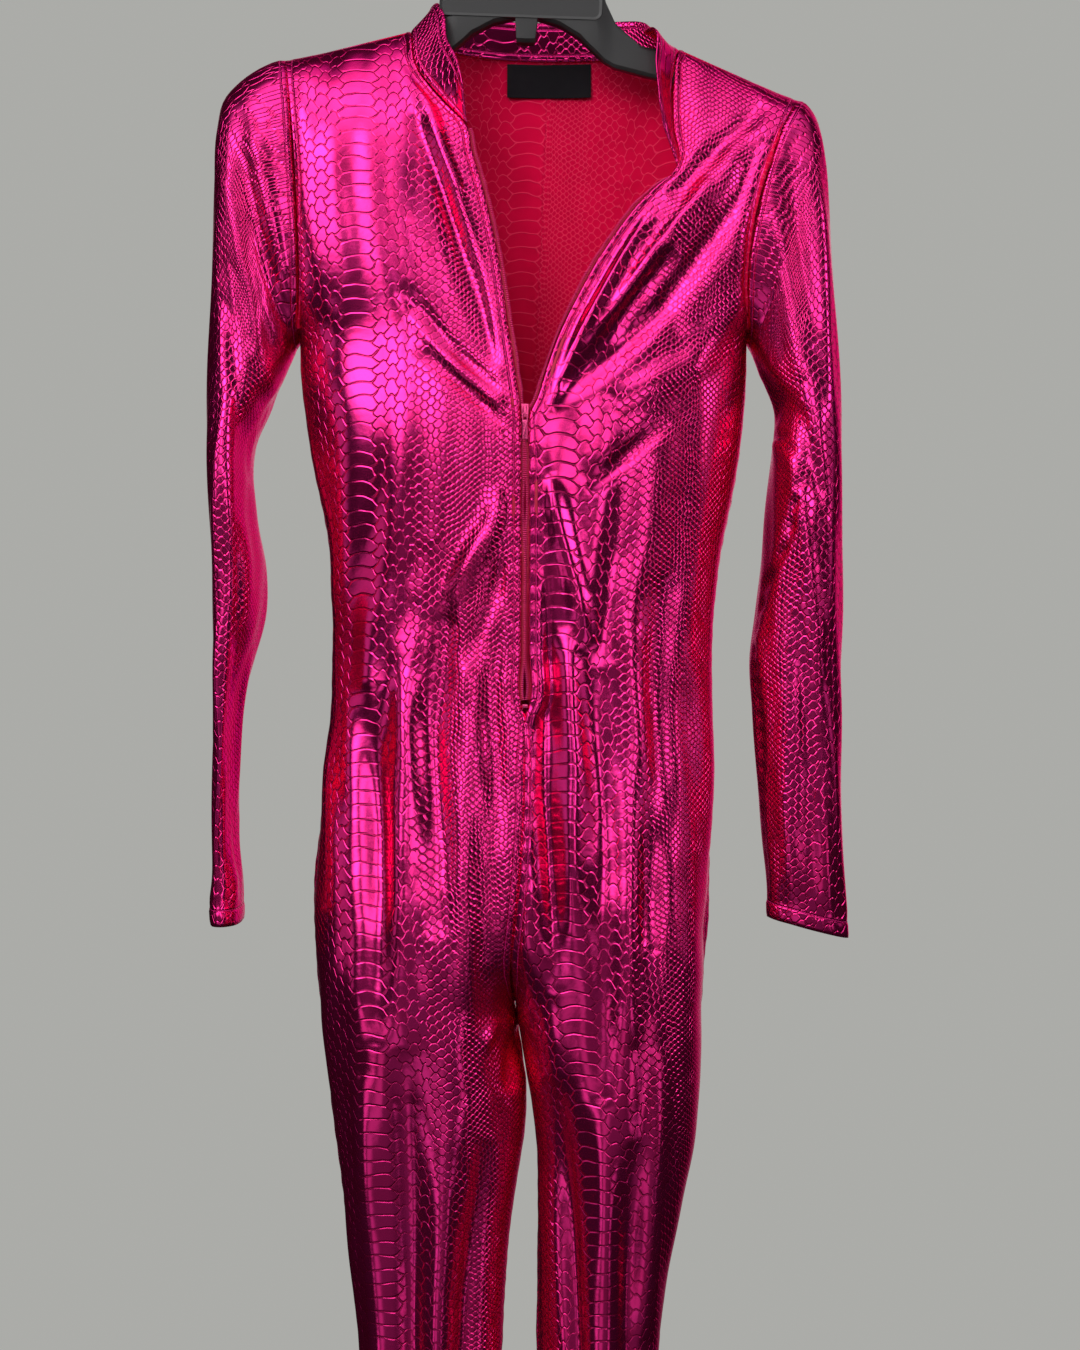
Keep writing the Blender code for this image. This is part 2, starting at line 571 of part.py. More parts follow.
def box(name, low, high, finish, bevel=0.0):
    """A box between two corners, with its edges broken."""
    mesh = bmesh.new()
    bmesh.ops.create_cube(mesh, size=1.0)
    size = Vector(high) - Vector(low)
    middle = (Vector(high) + Vector(low)) / 2.0
    bmesh.ops.scale(mesh, vec=size * MM, verts=mesh.verts)
    bmesh.ops.translate(mesh, vec=middle * MM, verts=mesh.verts)
    if bevel:
        bmesh.ops.bevel(mesh, geom=mesh.edges[:], offset=bevel * MM, segments=1, affect="EDGES")
    return finish_mesh(name, mesh, finish, smooth=False)


def combine(body, tool, operation):
    """Join a second solid to the first or cut it away, and drop the second."""
    modifier = body.modifiers.new("join", "BOOLEAN")
    modifier.solver = "EXACT"
    modifier.operation = operation
    modifier.object = tool
    bpy.context.view_layer.objects.active = body
    bpy.ops.object.modifier_apply(modifier=modifier.name)
    bpy.data.objects.remove(tool)


def zip_half(name, grid, finish):
    """Tape and teeth of one half, along the front's inner edge down to the zip's end."""
    rings = []
    end_row = next(j for j, row in enumerate(grid.rows) if abs(row[-1].z - ZIP_END_Z) < 1.0)
    start_row = len(UPPER_SHARES) - 1 - NECK_CORNER_ROW
    for j in range(start_row, end_row + 1):
        edge, before = grid.rows[j][-1], grid.rows[j][-2]
        normal = grid.normals[j][-1]
        share = TAPE_REACH / (edge - before).length
        under = edge.lerp(before, share)
        under_normal = normal.lerp(grid.normals[j][-2], share).normalized()
        along = (edge - before).normalized()
        along = (along - normal * along.dot(normal)).normalized()
        hidden = CLOTH + TAPE_GAP
        ring = [
            under - under_normal * hidden,
            edge + along * TEETH_START - normal * hidden,
            edge + along * TEETH_START,
            edge + along * TEETH_END,
            edge + along * TEETH_END - normal * TEETH_THICK,
            under - under_normal * (hidden + TAPE_THICK),
        ]
        rings.append(ring)
    rings[-1] = [low.lerp(high, ZIP_END_SHORT) for low, high in zip(rings[-1], rings[-2])]
    rings[0] = [high.lerp(low, 2.0 * ZIP_END_SHORT) for high, low in zip(rings[0], rings[1])]
    return loft(name, rings, finish, smooth=False)


def build_zip(fronts, teeth_finish, metal):
    """The two halves, the slider, its pull and the bottom stop."""
    zip_half("zip_tape_right", fronts[RIGHT], teeth_finish)
    zip_half("zip_tape_left", fronts[LEFT], teeth_finish)
    closed_row = next(row for row in SECTIONS if column(row, "z") == ZIP_TOP_Z)
    face = -column(closed_row, "front") - SEAM_GAP - 0.2  # rear of the slider's front plate
    front = face - SLIDER_PLATE
    half = SLIDER_WIDTH / 2.0
    behind = face + 0.5 + TEETH_THICK + SEAM_GAP + 0.3
    slider = box("zip_slider", (ZIP_X - half, front, SLIDER_BOTTOM), (ZIP_X + half, face, SLIDER_TOP),
                 metal, bevel=0.25)
    rear = box("rear", (ZIP_X - half, behind, SLIDER_BOTTOM + 1.0),
               (ZIP_X + half, behind + SLIDER_PLATE, SLIDER_TOP), metal, bevel=0.25)
    post = box("post", (ZIP_X + 0.1, face - 0.4, SLIDER_TOP - 2.6),
               (ZIP_X + 1.5, behind + 0.4, SLIDER_TOP - 0.4), metal)
    crown_front = front - CROWN_ROOM
    crown = box("crown", (ZIP_X - CROWN_WIDTH / 2, crown_front - CROWN_WALL, SLIDER_BOTTOM + 0.4),
                (ZIP_X + CROWN_WIDTH / 2, front + 0.4, SLIDER_TOP - 1.4), metal, bevel=0.3)
    crown_hole = box("hole", (ZIP_X - 4.0, crown_front, SLIDER_BOTTOM + 0.4 + CROWN_WALL),
                     (ZIP_X + 4.0, front, SLIDER_TOP - 1.4 - CROWN_WALL), metal)
    combine(crown, crown_hole, "DIFFERENCE")
    for piece in (post, rear, crown):
        combine(slider, piece, "UNION")

    pivot_y = front - PIVOT_OUT
    bar = PULL_THICK / 2.0
    pull_half = PULL_WIDTH / 2.0
    top = PIVOT_Z + bar
    pull = box("zip_pull", (ZIP_X - pull_half, pivot_y - bar, top - PULL_LENGTH),
               (ZIP_X + pull_half, pivot_y + bar, top), metal, bevel=0.2)
    eye = box("eye", (ZIP_X - 1.3, pivot_y - 2.0, top - 5.2), (ZIP_X + 1.3, pivot_y + 2.0, top - 1.0),
              metal)
    combine(pull, eye, "DIFFERENCE")
    for side in (RIGHT, LEFT):
        waist = box("waist", (ZIP_X + side * 1.75 - 0.5, pivot_y - 2.0, top - PULL_LENGTH - 1.0),
                    (ZIP_X + side * 1.75 + 0.5, pivot_y + 2.0, top - 7.0), metal)
        waist.location.x += side * 0.55 * MM
        bpy.context.view_layer.update()
        combine(pull, waist, "DIFFERENCE")

    end_row = next(row for row in SECTIONS if column(row, "z") == ZIP_END_Z)
    level = -column(end_row, "front")
    box("zip_stop", (ZIP_X - 2.0, level - 0.5, ZIP_END_Z - 3.2), (ZIP_X + 2.0, level + 2.0, ZIP_END_Z - 0.5),
        metal, bevel=0.3)


def build_label(finish):
    """The bare neck label, hung inside the back from the neck seam."""
    centre = Vector(BACK_NECK)
    half_neck = abs(FRONT_EDGES[RIGHT][-1][0] - centre.x)
    steps = 8
    rings = []
    for step in range(steps + 1):
        x = centre.x + LABEL_WIDTH * (step / steps - 0.5)
        wall = centre.y * math.sqrt(1.0 - ((x - centre.x) / half_neck) ** 2) - CLOTH - SEAM_GAP - 0.3
        top, bottom = centre.z - 2.5, centre.z - 2.5 - LABEL_HEIGHT
        rings.append([(x, wall - LABEL_THICK, top), (x, wall, top), (x, wall, bottom),
                      (x, wall - LABEL_THICK, bottom)])
    loft("label", rings, finish, smooth=False)


def build_hanger(finish):
    """The moulded hanger: arms, neck plate and lug in one run of rings, and the hook joined on."""
    stations = [(-d, *rest) for d, *rest in reversed(HANGER_PROFILE[1:])] + list(HANGER_PROFILE)
    rings = []
    for distance, top, bottom, half in stations:
        cut = min(2.5, (top - bottom) / 3.0)
        x = HANGER_MIDDLE + distance
        inset = half * 0.62
        rings.append([(x, -inset, top), (x, -half, top - cut), (x, -half, bottom + cut),
                      (x, -inset, bottom), (x, inset, bottom), (x, half, bottom + cut),
                      (x, half, top - cut), (x, inset, top)])
    hanger = loft("hanger", rings, finish, smooth=False)

    path = [Vector((x, 0.0, z)) for x, z in HOOK_PATH]
    radius = HOOK_BEND + HOOK_ROD
    turns = 12
    first = math.radians(-35)
    for step in range(turns + 1):
        angle = first + (HOOK_OPEN_TO - first) * step / turns
        path.append(Vector((radius * math.cos(angle), 0.0, radius * math.sin(angle) - HOOK_BEND)))
    rings = []
    sides = 10
    for number, point in enumerate(path):
        ahead = path[min(number + 1, len(path) - 1)] - path[max(number - 1, 0)]
        ahead.normalize()
        across = Vector((0.0, 1.0, 0.0))
        up = ahead.cross(across)
        rings.append([point + (across * math.cos(a) + up * math.sin(a)) * HOOK_ROD
                      for a in (2.0 * math.pi * i / sides for i in range(sides))])
    hook = loft("hook", rings, finish)
    combine(hanger, hook, "UNION")
    hanger.data.transform(Matrix.Rotation(HANGER_TILT, 4, "Y"))
    for polygon in hanger.data.polygons:
        polygon.use_smooth = False


def main():
    for existing in list(bpy.data.objects):
        bpy.data.objects.remove(existing)
    foil = material("pink_foil_cloth", PINK, 0.85, 0.3)
    tape = material("zip_tape_and_teeth", DEEP_PINK, 0.2, 0.5)
    metal = material("pink_metal", METAL_PINK, 1.0, 0.3)
    woven = material("black_label", BLACK, 0.0, 0.8)
    plastic = material("black_plastic", CHARCOAL, 0.0, 0.45)

    fronts, cloth = {}, []
    for side, word in ((RIGHT, "right"), (LEFT, "left")):
        front = ClothGrid(f"front_{word}", front_rows(side), foil, folds=FRONT_FOLDS[side], hem_rows=2)
        back = ClothGrid(f"back_{word}", back_rows(side), foil, folds=BACK_FOLDS[side], hem_rows=2)
        sleeve = ClothGrid(f"sleeve_{word}", sleeve_rows(side), foil, closed=True, hem_rows=2,
                           gap=SLEEVE_GAP)
        fronts[side] = front
        cloth += [front, back, sleeve]
    cloth.append(ClothGrid("collar", collar_rows(), foil, thickness=COLLAR_CLOTH, gap=COLLAR_GAP))
    shared = {}
    for piece in cloth:
        piece.add_seam_normals(shared)
    for piece in cloth:
        piece.take_seam_normals(shared)
    for piece in cloth:
        piece.pull_back()
    for piece in cloth:
        piece.build()
    build_zip(fronts, tape, metal)
    build_label(woven)
    build_hanger(plastic)


main()
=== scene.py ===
"""Looks of the long-sleeved unitard on its hanger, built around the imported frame.

The cloth pieces are thin shells on the form of the frame's panels, with the folds in which the garment
hangs. Tables are in millimetres, in the frame's axes: +Z up, the front faces -Y, +X is the wearer's left.
"""

from __future__ import annotations

import json
import logging
import math
from collections.abc import Callable
from dataclasses import dataclass, field
from enum import Enum

import bmesh
import bpy
import numpy as np
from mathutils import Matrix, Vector

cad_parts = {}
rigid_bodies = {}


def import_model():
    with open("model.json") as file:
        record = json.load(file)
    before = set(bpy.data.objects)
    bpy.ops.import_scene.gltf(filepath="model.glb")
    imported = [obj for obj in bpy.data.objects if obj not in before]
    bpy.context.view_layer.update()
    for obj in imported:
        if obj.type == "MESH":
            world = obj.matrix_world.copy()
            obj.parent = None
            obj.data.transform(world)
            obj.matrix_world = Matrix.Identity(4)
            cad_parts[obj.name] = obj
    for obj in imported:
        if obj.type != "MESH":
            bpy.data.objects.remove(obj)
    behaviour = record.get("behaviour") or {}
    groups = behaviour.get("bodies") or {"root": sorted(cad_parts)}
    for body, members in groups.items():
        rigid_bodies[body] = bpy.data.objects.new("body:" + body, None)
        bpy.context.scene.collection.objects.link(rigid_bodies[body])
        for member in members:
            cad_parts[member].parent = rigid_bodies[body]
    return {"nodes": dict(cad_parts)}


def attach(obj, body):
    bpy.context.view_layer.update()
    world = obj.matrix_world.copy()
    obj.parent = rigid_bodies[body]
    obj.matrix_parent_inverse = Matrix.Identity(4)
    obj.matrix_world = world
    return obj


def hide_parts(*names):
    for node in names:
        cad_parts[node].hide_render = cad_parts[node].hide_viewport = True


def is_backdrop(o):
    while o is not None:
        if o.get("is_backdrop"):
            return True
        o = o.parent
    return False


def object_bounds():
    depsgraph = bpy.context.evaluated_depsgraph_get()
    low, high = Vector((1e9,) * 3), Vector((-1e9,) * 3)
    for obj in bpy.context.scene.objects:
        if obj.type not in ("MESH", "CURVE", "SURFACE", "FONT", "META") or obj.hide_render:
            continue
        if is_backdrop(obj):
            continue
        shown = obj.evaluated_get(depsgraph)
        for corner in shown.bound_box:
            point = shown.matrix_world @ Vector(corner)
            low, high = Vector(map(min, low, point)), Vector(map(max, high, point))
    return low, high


log = logging.getLogger("unitard")

MM = 0.001
SQUARENESS = 2.3  # exponent of the rounded sections; 2 would be an ellipse
CROTCH_Z = -841.0  # from here down there are two legs
ZIP_END_Z = -614.0
CLOTH = 1.2  # thickness of the wall
COLLAR_CLOTH = 2.0  # the collar is folded double
HEM_DEPTH = 12.0  # turned-up cuff
SEAM_GAP = -0.45  # neighbours run this far past the seam line, so that no light shows through
SLEEVE_SEAM_GAP = 0.1  # the sleeves stop short instead
EDGE_SHARE = 0.3  # part of the wall by which each face closes in at a border

BLACK = (0.0, 0.0, 0.0, 1.0)

Grid = np.ndarray
Obj = bpy.types.Object
Material = bpy.types.Material
Tree = bpy.types.NodeTree
Point = tuple[float, float, float]
Colour = tuple[float, float, float, float]


class Side(Enum):
    """The wearer's side, as the sign of x."""

    RIGHT = -1
    LEFT = 1

    @property
    def word(self) -> str:
        """Name as it stands in the frame's nodes."""
        return self.name.lower()


class Face(Enum):
    """Front or back panel."""

    FRONT = "front"
    BACK = "back"


@dataclass(frozen=True)
class Section:
    """Level section of the body and legs: widths from the origin and half depths."""

    z: float
    outer_r: float
    outer_l: float
    inner_r: float
    inner_l: float
    back_seam: float
    front: float
    back: float
    lobe: float

    def outer(self, side: Side) -> float:
        """Side seam."""
        return self.outer_l if side is Side.LEFT else self.outer_r

    def inner(self, side: Side) -> float:
        """The front's inner edge."""
        return self.inner_l if side is Side.LEFT else self.inner_r


SECTIONS = [Section(*row) for row in (
    (-344, -170, 163.5, -13.5, 25, 6, 66, 50, 0.00),
    (-362, -170.5, 164.2, -10.5, 18, 5, 69, 51, 0.00),
    (-382, -169.5, 164.4, -7.5, 11.5, 5, 72, 52, 0.00),
    (-398, -166.7, 162, -5.3, 6.5, 4, 74.6, 52, 0.00),
    (-407, -165.4, 161.2, -4.3, 1.7, 4, 75, 52, 0.00),
    (-435, -161, 158.7, -4.3, 1.7, 3, 75, 52, 0.00),
    (-470, -154, 152.5, -4.3, 1.7, 2, 73, 52, 0.00),
    (-505, -148, 145, -4.3, 1.7, 1, 71, 52, 0.00),
    (-540, -144.3, 140.3, -4.3, 1.7, 0, 70, 51, 0.00),
    (-578, -145, 137.7, -4.3, 1.7, -1, 69, 51, 0.00),
    (-614, -147.2, 137.5, -4.3, 1.7, -1.3, 70, 52, 0.00),
    (-622, -147.8, 137.6, -1.4, -1.4, -1.4, 70, 53, 0.02),
    (-655, -150.8, 138.2, -1.8, -1.8, -1.8, 72, 56, 0.08),
    (-695, -154.9, 138, -2.5, -2.5, -2.5, 74, 60, 0.20),
    (-735, -158.8, 137.2, -5, -5, -5, 76, 63, 0.38),
    (-770, -161, 135.6, -8.5, -8.5, -7.5, 77, 65, 0.60),
    (-800, -159, 133.4, -11.5, -11.5, -9, 77, 66, 0.80),
    (-822, -157, 132, -11, -11, -9.5, 76, 66, 0.94),
    (-835, -156, 131.2, -9.5, -9.5, -9.5, 75, 65, 0.985),
    (-841, -155.5, 130.8, -9, -9, -9, 75, 65, 1.00),
    (-870, -152, 129.4, -4.4, -3.4, 0, 71, 61, 1.00),
    (-900, -148.7, 128.4, -1.2, 2.5, 0, 68, 60, 1.00),
    (-940, -144.8, 125.2, -3.4, 7.8, 0, 63, 57, 1.00),
    (-990, -138.2, 114.7, -11.8, 8, 0, 58, 54, 1.00),
    (-1050, -130, 103.8, -16.5, 8.6, 0, 54, 51, 1.00),
    (-1120, -124.5, 97, -20, 8.4, 0, 52, 50, 1.00),
    (-1210, -120, 92.5, -24, 8, 0, 50, 49, 1.00),
    (-1320, -115, 89, -29, 10, 0, 45, 45, 1.00),
    (-1430, -111.5, 88, -33, 14, 0, 40, 40, 1.00),
    (-1525, -110, 89.5, -36, 17.5, 0, 36, 36, 1.00),
    (-1540, -110, 90, -36, 18, 0, 36, 36, 1.00),
)]


@dataclass(frozen=True)
class Armhole:
    """Armhole seam: shoulder point, underarm point, half depths and how far it is scooped in."""

    top_x: float
    top_z: float
    under_x: float
    under_z: float
    front: float
    back: float
    scoop_front: float
    scoop_back: float

    @property
    def top(self) -> Grid:
        """The shoulder point."""
        return np.array((self.top_x, 0.0, self.top_z))

    def scoop(self, face: Face) -> float:
        """How far one face is scooped in."""
        return self.scoop_back if face is Face.BACK else self.scoop_front


ARMHOLES = {
    Side.RIGHT: Armhole(-180.5, -131.6, -170, -344, 46, 42, 6, 4),
    Side.LEFT: Armhole(203, -161.7, 163.5, -344, 46, 42, 16, 5),
}
UPPER_SHARES = (0, 0.11, 0.22, 0.33, 0.44, 0.56, 0.67, 0.78, 0.89, 0.965, 1)
NECK_CORNER_ROW = 6
FRONT_EDGES = {
    Side.RIGHT: [(-13.5, -66, -344), (-17, -64, -318), (-21.5, -60.5, -288), (-27.5, -57, -259),
                 (-34, -53.5, -233), (-40, -50, -212), (-44.5, -47, -193), (-64, -38, -171),
                 (-84, -24, -140), (-87.2, -10.5, -117), (-88.6, 0, -109)],
    Side.LEFT: [(25, -66, -344), (35, -65, -324), (47.5, -62, -300), (61.5, -59, -278),
                (77.5, -56, -256), (93.5, -52, -239), (111, -48, -223), (107.5, -37, -194),
                (108, -22, -160), (112.5, -11, -131), (114.9, 0, -122.6)],
}
BACK_NECK = (16.4, 45, -117)
ARM_ROUND = 9.0  # least half depth beside the hanger's arm
SCOOPED_RINGS = 3.0  # sleeve rings over which the armhole's scoop fades
SHOULDER_EASE = 16.0  # 1 / 16 of the width eases in and out
SHOULDER_SHARE = 6 / 11  # share of the back's top edge that is shoulder seam

# Sleeve rings: outer and inner point in x and z, then the half depths in front and behind.
SLEEVES = {
    Side.RIGHT: [
        (-180.5, -131.6, -170, -344, 46, 42), (-200, -139.5, -172.2, -345.2, 46, 42),
        (-216.5, -151, -173.6, -347, 46, 43), (-227, -163, -174.8, -349.5, 46, 43),
        (-232.5, -183, -176, -352.5, 47, 44), (-234.5, -222, -177.6, -356.5, 47, 44),
        (-236.3, -262, -179.7, -361, 46, 44), (-237.4, -310, -182.6, -368, 46, 44),
        (-237.8, -352, -187, -377, 48, 45), (-237.6, -396, -198, -396, 52, 48),
        (-237, -425, -207.3, -425, 55, 50), (-236.2, -470, -206, -470, 55, 50),
        (-235.5, -515, -199.3, -515, 50, 46), (-235.2, -545, -199.6, -545, 48, 44),
        (-234.9, -582, -207.6, -582, 46, 42), (-233.5, -620, -215, -620, 42, 38),
        (-233.2, -670, -218.1, -670, 38, 34), (-234.2, -720, -218.9, -720, 35, 32),
        (-235.2, -745, -215.7, -745, 34, 31), (-237, -766, -215.1, -766, 34, 31),
        (-236.2, -779, -215.5, -779, 34, 31)],
    Side.LEFT: [
        (203, -161.7, 163.5, -344, 46, 42), (209, -166, 165.7, -345.2, 46, 42),
        (215, -173, 167, -347, 46, 42), (219.5, -184, 168.2, -349.5, 46, 42),
        (223.5, -205, 169.3, -352.5, 46, 42), (226.5, -238, 170.8, -356.5, 46, 42),
        (228.5, -275, 172.7, -361, 46, 43), (231, -320, 175.2, -368, 47, 44),
        (232.2, -358, 179.5, -377, 49, 46), (233.2, -398, 186, -397, 51, 47),
        (233.9, -425, 184.2, -425, 52, 48), (235.4, -470, 179.7, -470, 50, 46),
        (236.2, -515, 175.9, -515, 46, 42), (236.2, -545, 172.3, -545, 43, 39),
        (235.6, -582, 167.8, -582, 40, 36), (236.2, -620, 170.6, -620, 38, 34),
        (236.2, -670, 174.2, -670, 35, 32), (237.5, -720, 177.5, -718, 31, 28),
        (238.6, -752, 179.7, -745, 26, 24), (239.8, -779, 180.3, -763, 21, 20),
        (240.5, -791, 180.5, -775, 19, 18)],
}

COLLAR_HEIGHT = 30.0
COLLAR_STAND = {
    Side.RIGHT: [(-0.12, -0.30, 0.94), (0.40, -0.25, 0.88), (0.78, -0.15, 0.61), (0.80, -0.06, 0.60),
                 (0.70, 0.00, 0.71), (0.35, 0.12, 0.93), (0.18, 0.10, 0.97), (0.08, 0.06, 0.99),
                 (0.03, 0.03, 1.00), (0.00, 0.00, 1.00)],
    Side.LEFT: [(-0.42, -0.15, 0.90), (-0.37, -0.70, 0.60), (-0.42, -0.80, 0.42), (-0.62, -0.60, 0.50),
                (-0.90, -0.10, 0.42), (-0.60, 0.15, 0.78), (-0.30, 0.12, 0.94), (-0.12, 0.08, 0.98),
                (-0.04, 0.04, 1.00), (0.00, 0.00, 1.00)],
}


# ---- numbers ----


def signed_power(value: Grid, exponent: float) -> Grid:
    """Raise sizes to the exponent and keep their signs."""
    return np.sign(value) * np.abs(value) ** exponent


def ease(share: Grid) -> Grid:
    """Smooth step from 0 to 1."""
    share = np.clip(share, 0.0, 1.0)
    return share * share * (3.0 - 2.0 * share)


def lerp(low: Grid, high: Grid, share: Grid) -> Grid:
    """Straight blend of two points or two rows of points."""
    return low + (high - low) * share


def unit(vectors: Grid) -> Grid:
    """Scale vectors to length one."""
    return vectors / np.maximum(np.linalg.norm(vectors, axis=-1, keepdims=True), 1e-9)


def spline(values: Grid, places: Grid, wanted: Grid) -> Grid:
    """Smooth curve through rows of values.

    Args:
        values: Rows to pass through, along the first axis.
        places: Increasing place of each row.
        wanted: Places at which the curve is read.

    Returns:
        One row for each wanted place.
    """
    slopes = np.gradient(values, places, axis=0)
    index = np.clip(np.searchsorted(places, wanted, side="right") - 1, 0, len(places) - 2)
    shape = (-1,) + (1,) * (values.ndim - 1)
    width = places[index + 1] - places[index]
    span, t = width.reshape(shape), ((wanted - places[index]) / width).reshape(shape)
    near = (2 * t**3 - 3 * t**2 + 1) * values[index] + (t**3 - 2 * t**2 + t) * span * slopes[index]
    far = (3 * t**2 - 2 * t**3) * values[index + 1] + (t**3 - t**2) * span * slopes[index + 1]
    return near + far


def refine(rows: Grid, step: float) -> Grid:
    """Add rows between the given ones, about one step apart."""
    gaps = np.linalg.norm(np.diff(rows, axis=0), axis=2).mean(axis=1)
    places = np.concatenate(([0.0], np.cumsum(gaps)))
    return spline(rows, places, np.linspace(0.0, places[-1], math.ceil(places[-1] / step) + 1))


def calm_rows(rows: Grid, times: int) -> Grid:
    """Even out bends from row to row, away from the borders, which stay as they are."""
    share = ease(np.minimum(np.arange(rows.shape[0]), np.arange(rows.shape[0])[::-1]) / 8.0)[:, None]
    places = np.linspace(0.0, 1.0, rows.shape[1])
    hold = share * ease(np.minimum(places, 1.0 - places) * 14.0)[None, :]
    for _ in range(times):
        between = (rows[:-2] + rows[2:]) / 2.0
        rows = rows.copy()
        rows[1:-1] += (between - rows[1:-1]) * 0.5 * hold[1:-1, :, None]
    return rows


def run_lengths(rows: Grid, axis: int) -> Grid:
    """Length along each line of a grid, from its first point."""
    steps = np.linalg.norm(np.diff(rows, axis=axis), axis=2)
    start = np.zeros_like(np.take(steps, [0], axis=axis))
    return np.concatenate((start, np.cumsum(steps, axis=axis)), axis=axis)


def surface_normals(points: Grid, closed: bool) -> Grid:
    """Normal at each point of a grid, not yet turned outwards."""
    if closed:
        wrapped = np.concatenate((points[:, -2:-1], points, points[:, 1:2]), axis=1)
        across = np.gradient(wrapped, axis=1)[:, 1:-1]
    else:
        across = np.gradient(points, axis=1)
    return unit(np.cross(across, np.gradient(points, axis=0)))


# ---- form of the garment, as in the frame ----


def lobe_end(section: Section, side: Side, edge: float, middle: float) -> tuple[float, float, float]:
    """Where a panel reaches its inner edge.

    Args:
        section: Level section.
        side: The wearer's side.
        edge: x of the inner edge.
        middle: x of the middle of the body, or of the leg's inner side.

    Returns:
        The angle round the lobe, the lobe's centre and its radius.
    """
    half = abs(section.outer(side) - middle)
    centre = middle + side.value * section.lobe * half / 2.0
    radius = half * (1.0 - section.lobe / 2.0)
    cosine = float(signed_power(np.array((edge - centre) / (side.value * radius)), SQUARENESS / 2.0))
    return math.acos(min(max(cosine, -1.0), 1.0)), centre, radius


def section_row(section: Section, side: Side, face: Face, shares: Grid) -> Grid:
    """Points of a level section, from the side seam at share 0 to the inner edge at share 1."""
    below = section.z <= CROTCH_Z
    back = face is Face.BACK
    depth = section.back if back else -section.front

    def reach(which: Side) -> tuple[float, float, float]:
        """Inner edge of one side at this level."""
        edge = section.back_seam if back and not below else section.inner(which)
        middle = edge if below or back else (section.inner_r + section.inner_l) / 2.0
        return lobe_end(section, which, edge, middle)

    angle_end, centre, radius = reach(side)
    angle = angle_end * shares
    x = centre + side.value * radius * signed_power(np.cos(angle), 2.0 / SQUARENESS)
    y = depth * signed_power(np.sin(angle), 2.0 / SQUARENESS)
    if not below:
        ends = [depth * math.sin(reach(which)[0]) ** (2.0 / SQUARENESS) for which in Side]
        own = depth * math.sin(angle_end) ** (2.0 / SQUARENESS)
        y = y + (sum(ends) / 2.0 - own) * ease(shares) ** 3
    return np.stack((x, y, np.full_like(x, section.z)), axis=1)


def armhole_point(side: Side, share: float, face: Face) -> Grid:
    """Point of the armhole seam, from the underarm at share 0 to the shoulder at share 1."""
    hole = ARMHOLES[side]
    top, under = hole.top, np.array((hole.under_x, 0.0, hole.under_z))
    angle = math.pi * (1.0 - share)
    middle = (top + under) / 2.0
    point = middle + (top - middle) * signed_power(np.array(math.cos(angle)), 2.0 / SQUARENESS)
    bulge = max(math.sin(angle), 0.0) ** (2.0 / SQUARENESS)
    point[1] = (hole.back if face is Face.BACK else -hole.front) * bulge
    point[0] -= side.value * hole.scoop(face) * math.sin(angle) ** 2
    return point


def back_top(side: Side, shares: Grid) -> Grid:
    """The back's top edge: along the shoulder seam, then round the back of the neck."""
    neck, centre = np.array(FRONT_EDGES[side][-1]), np.array(BACK_NECK)
    along = np.clip(shares / SHOULDER_SHARE, 0.0, 1.0)[:, None]
    turn = np.clip((shares - SHOULDER_SHARE) / (1.0 - SHOULDER_SHARE), 0.0, 1.0) * math.pi / 2.0
    shoulder = lerp(ARMHOLES[side].top, neck, along)
    round_neck = np.stack((neck[0] + (centre[0] - neck[0]) * (1.0 - np.cos(turn)), centre[1] * np.sin(turn),
                           neck[2] + (centre[2] - neck[2]) * np.sin(turn)), axis=1)
    return np.where((shares <= SHOULDER_SHARE)[:, None], shoulder, round_neck)


def round_shoulder(side: Side, row: Grid, shares: Grid, face: Face) -> None:
    """Keep the cloth clear of the hanger's arm, just under the shoulder seam."""
    top, neck = ARMHOLES[side].top, np.array(FRONT_EDGES[side][-1])
    along = np.clip((row[:, 0] - top[0]) / (neck[0] - top[0]), 0.0, 1.0)
    drop = np.maximum(lerp(top[2], neck[2], along) - row[:, 2], 0.0)
    least = ARM_ROUND * np.sqrt(np.maximum(1.0 - (1.0 - np.minimum(drop / ARM_ROUND, 1.0)) ** 2, 0.0))
    if face is Face.FRONT:
        least = least * ease(shares * SHOULDER_EASE) * ease((1.0 - shares) * SHOULDER_EASE)
        row[:, 1] = np.minimum(row[:, 1], -least)
    else:
        least = least * ease(shares * SHOULDER_EASE) * (shares <= SHOULDER_SHARE)
        row[:, 1] = np.maximum(row[:, 1], least)


def panel_rows(side: Side, face: Face, columns: int) -> Grid:
    """Main rows of a panel, from the shoulder to the hem, side seam first."""
    shares = np.linspace(0.0, 1.0, columns + 1)
    first = section_row(SECTIONS[0], side, face, shares)
    low_out, low_in = first[0], first[-1]
    if face is Face.FRONT:
        top = lerp(ARMHOLES[side].top, np.array(FRONT_EDGES[side][-1]), shares[:, None])
    else:
        top = back_top(side, shares)
    u = shares[:, None]
    rows = []
    for number in range(len(UPPER_SHARES) - 1, 0, -1):
        v = UPPER_SHARES[number]
        outer = armhole_point(side, v, face)
        inner = np.array(FRONT_EDGES[side][number], float) if face is Face.FRONT else lerp(low_in, top[-1], v)
        corners = lerp(lerp(low_out, low_in, u), lerp(top[0], top[-1], u), v)
        row = lerp(outer, inner, u) + lerp(first, top, v) - corners
        round_shoulder(side, row, shares, face)
        rows.append(row)
    rows += [section_row(section, side, face, shares) for section in SECTIONS]
    return np.array(rows)


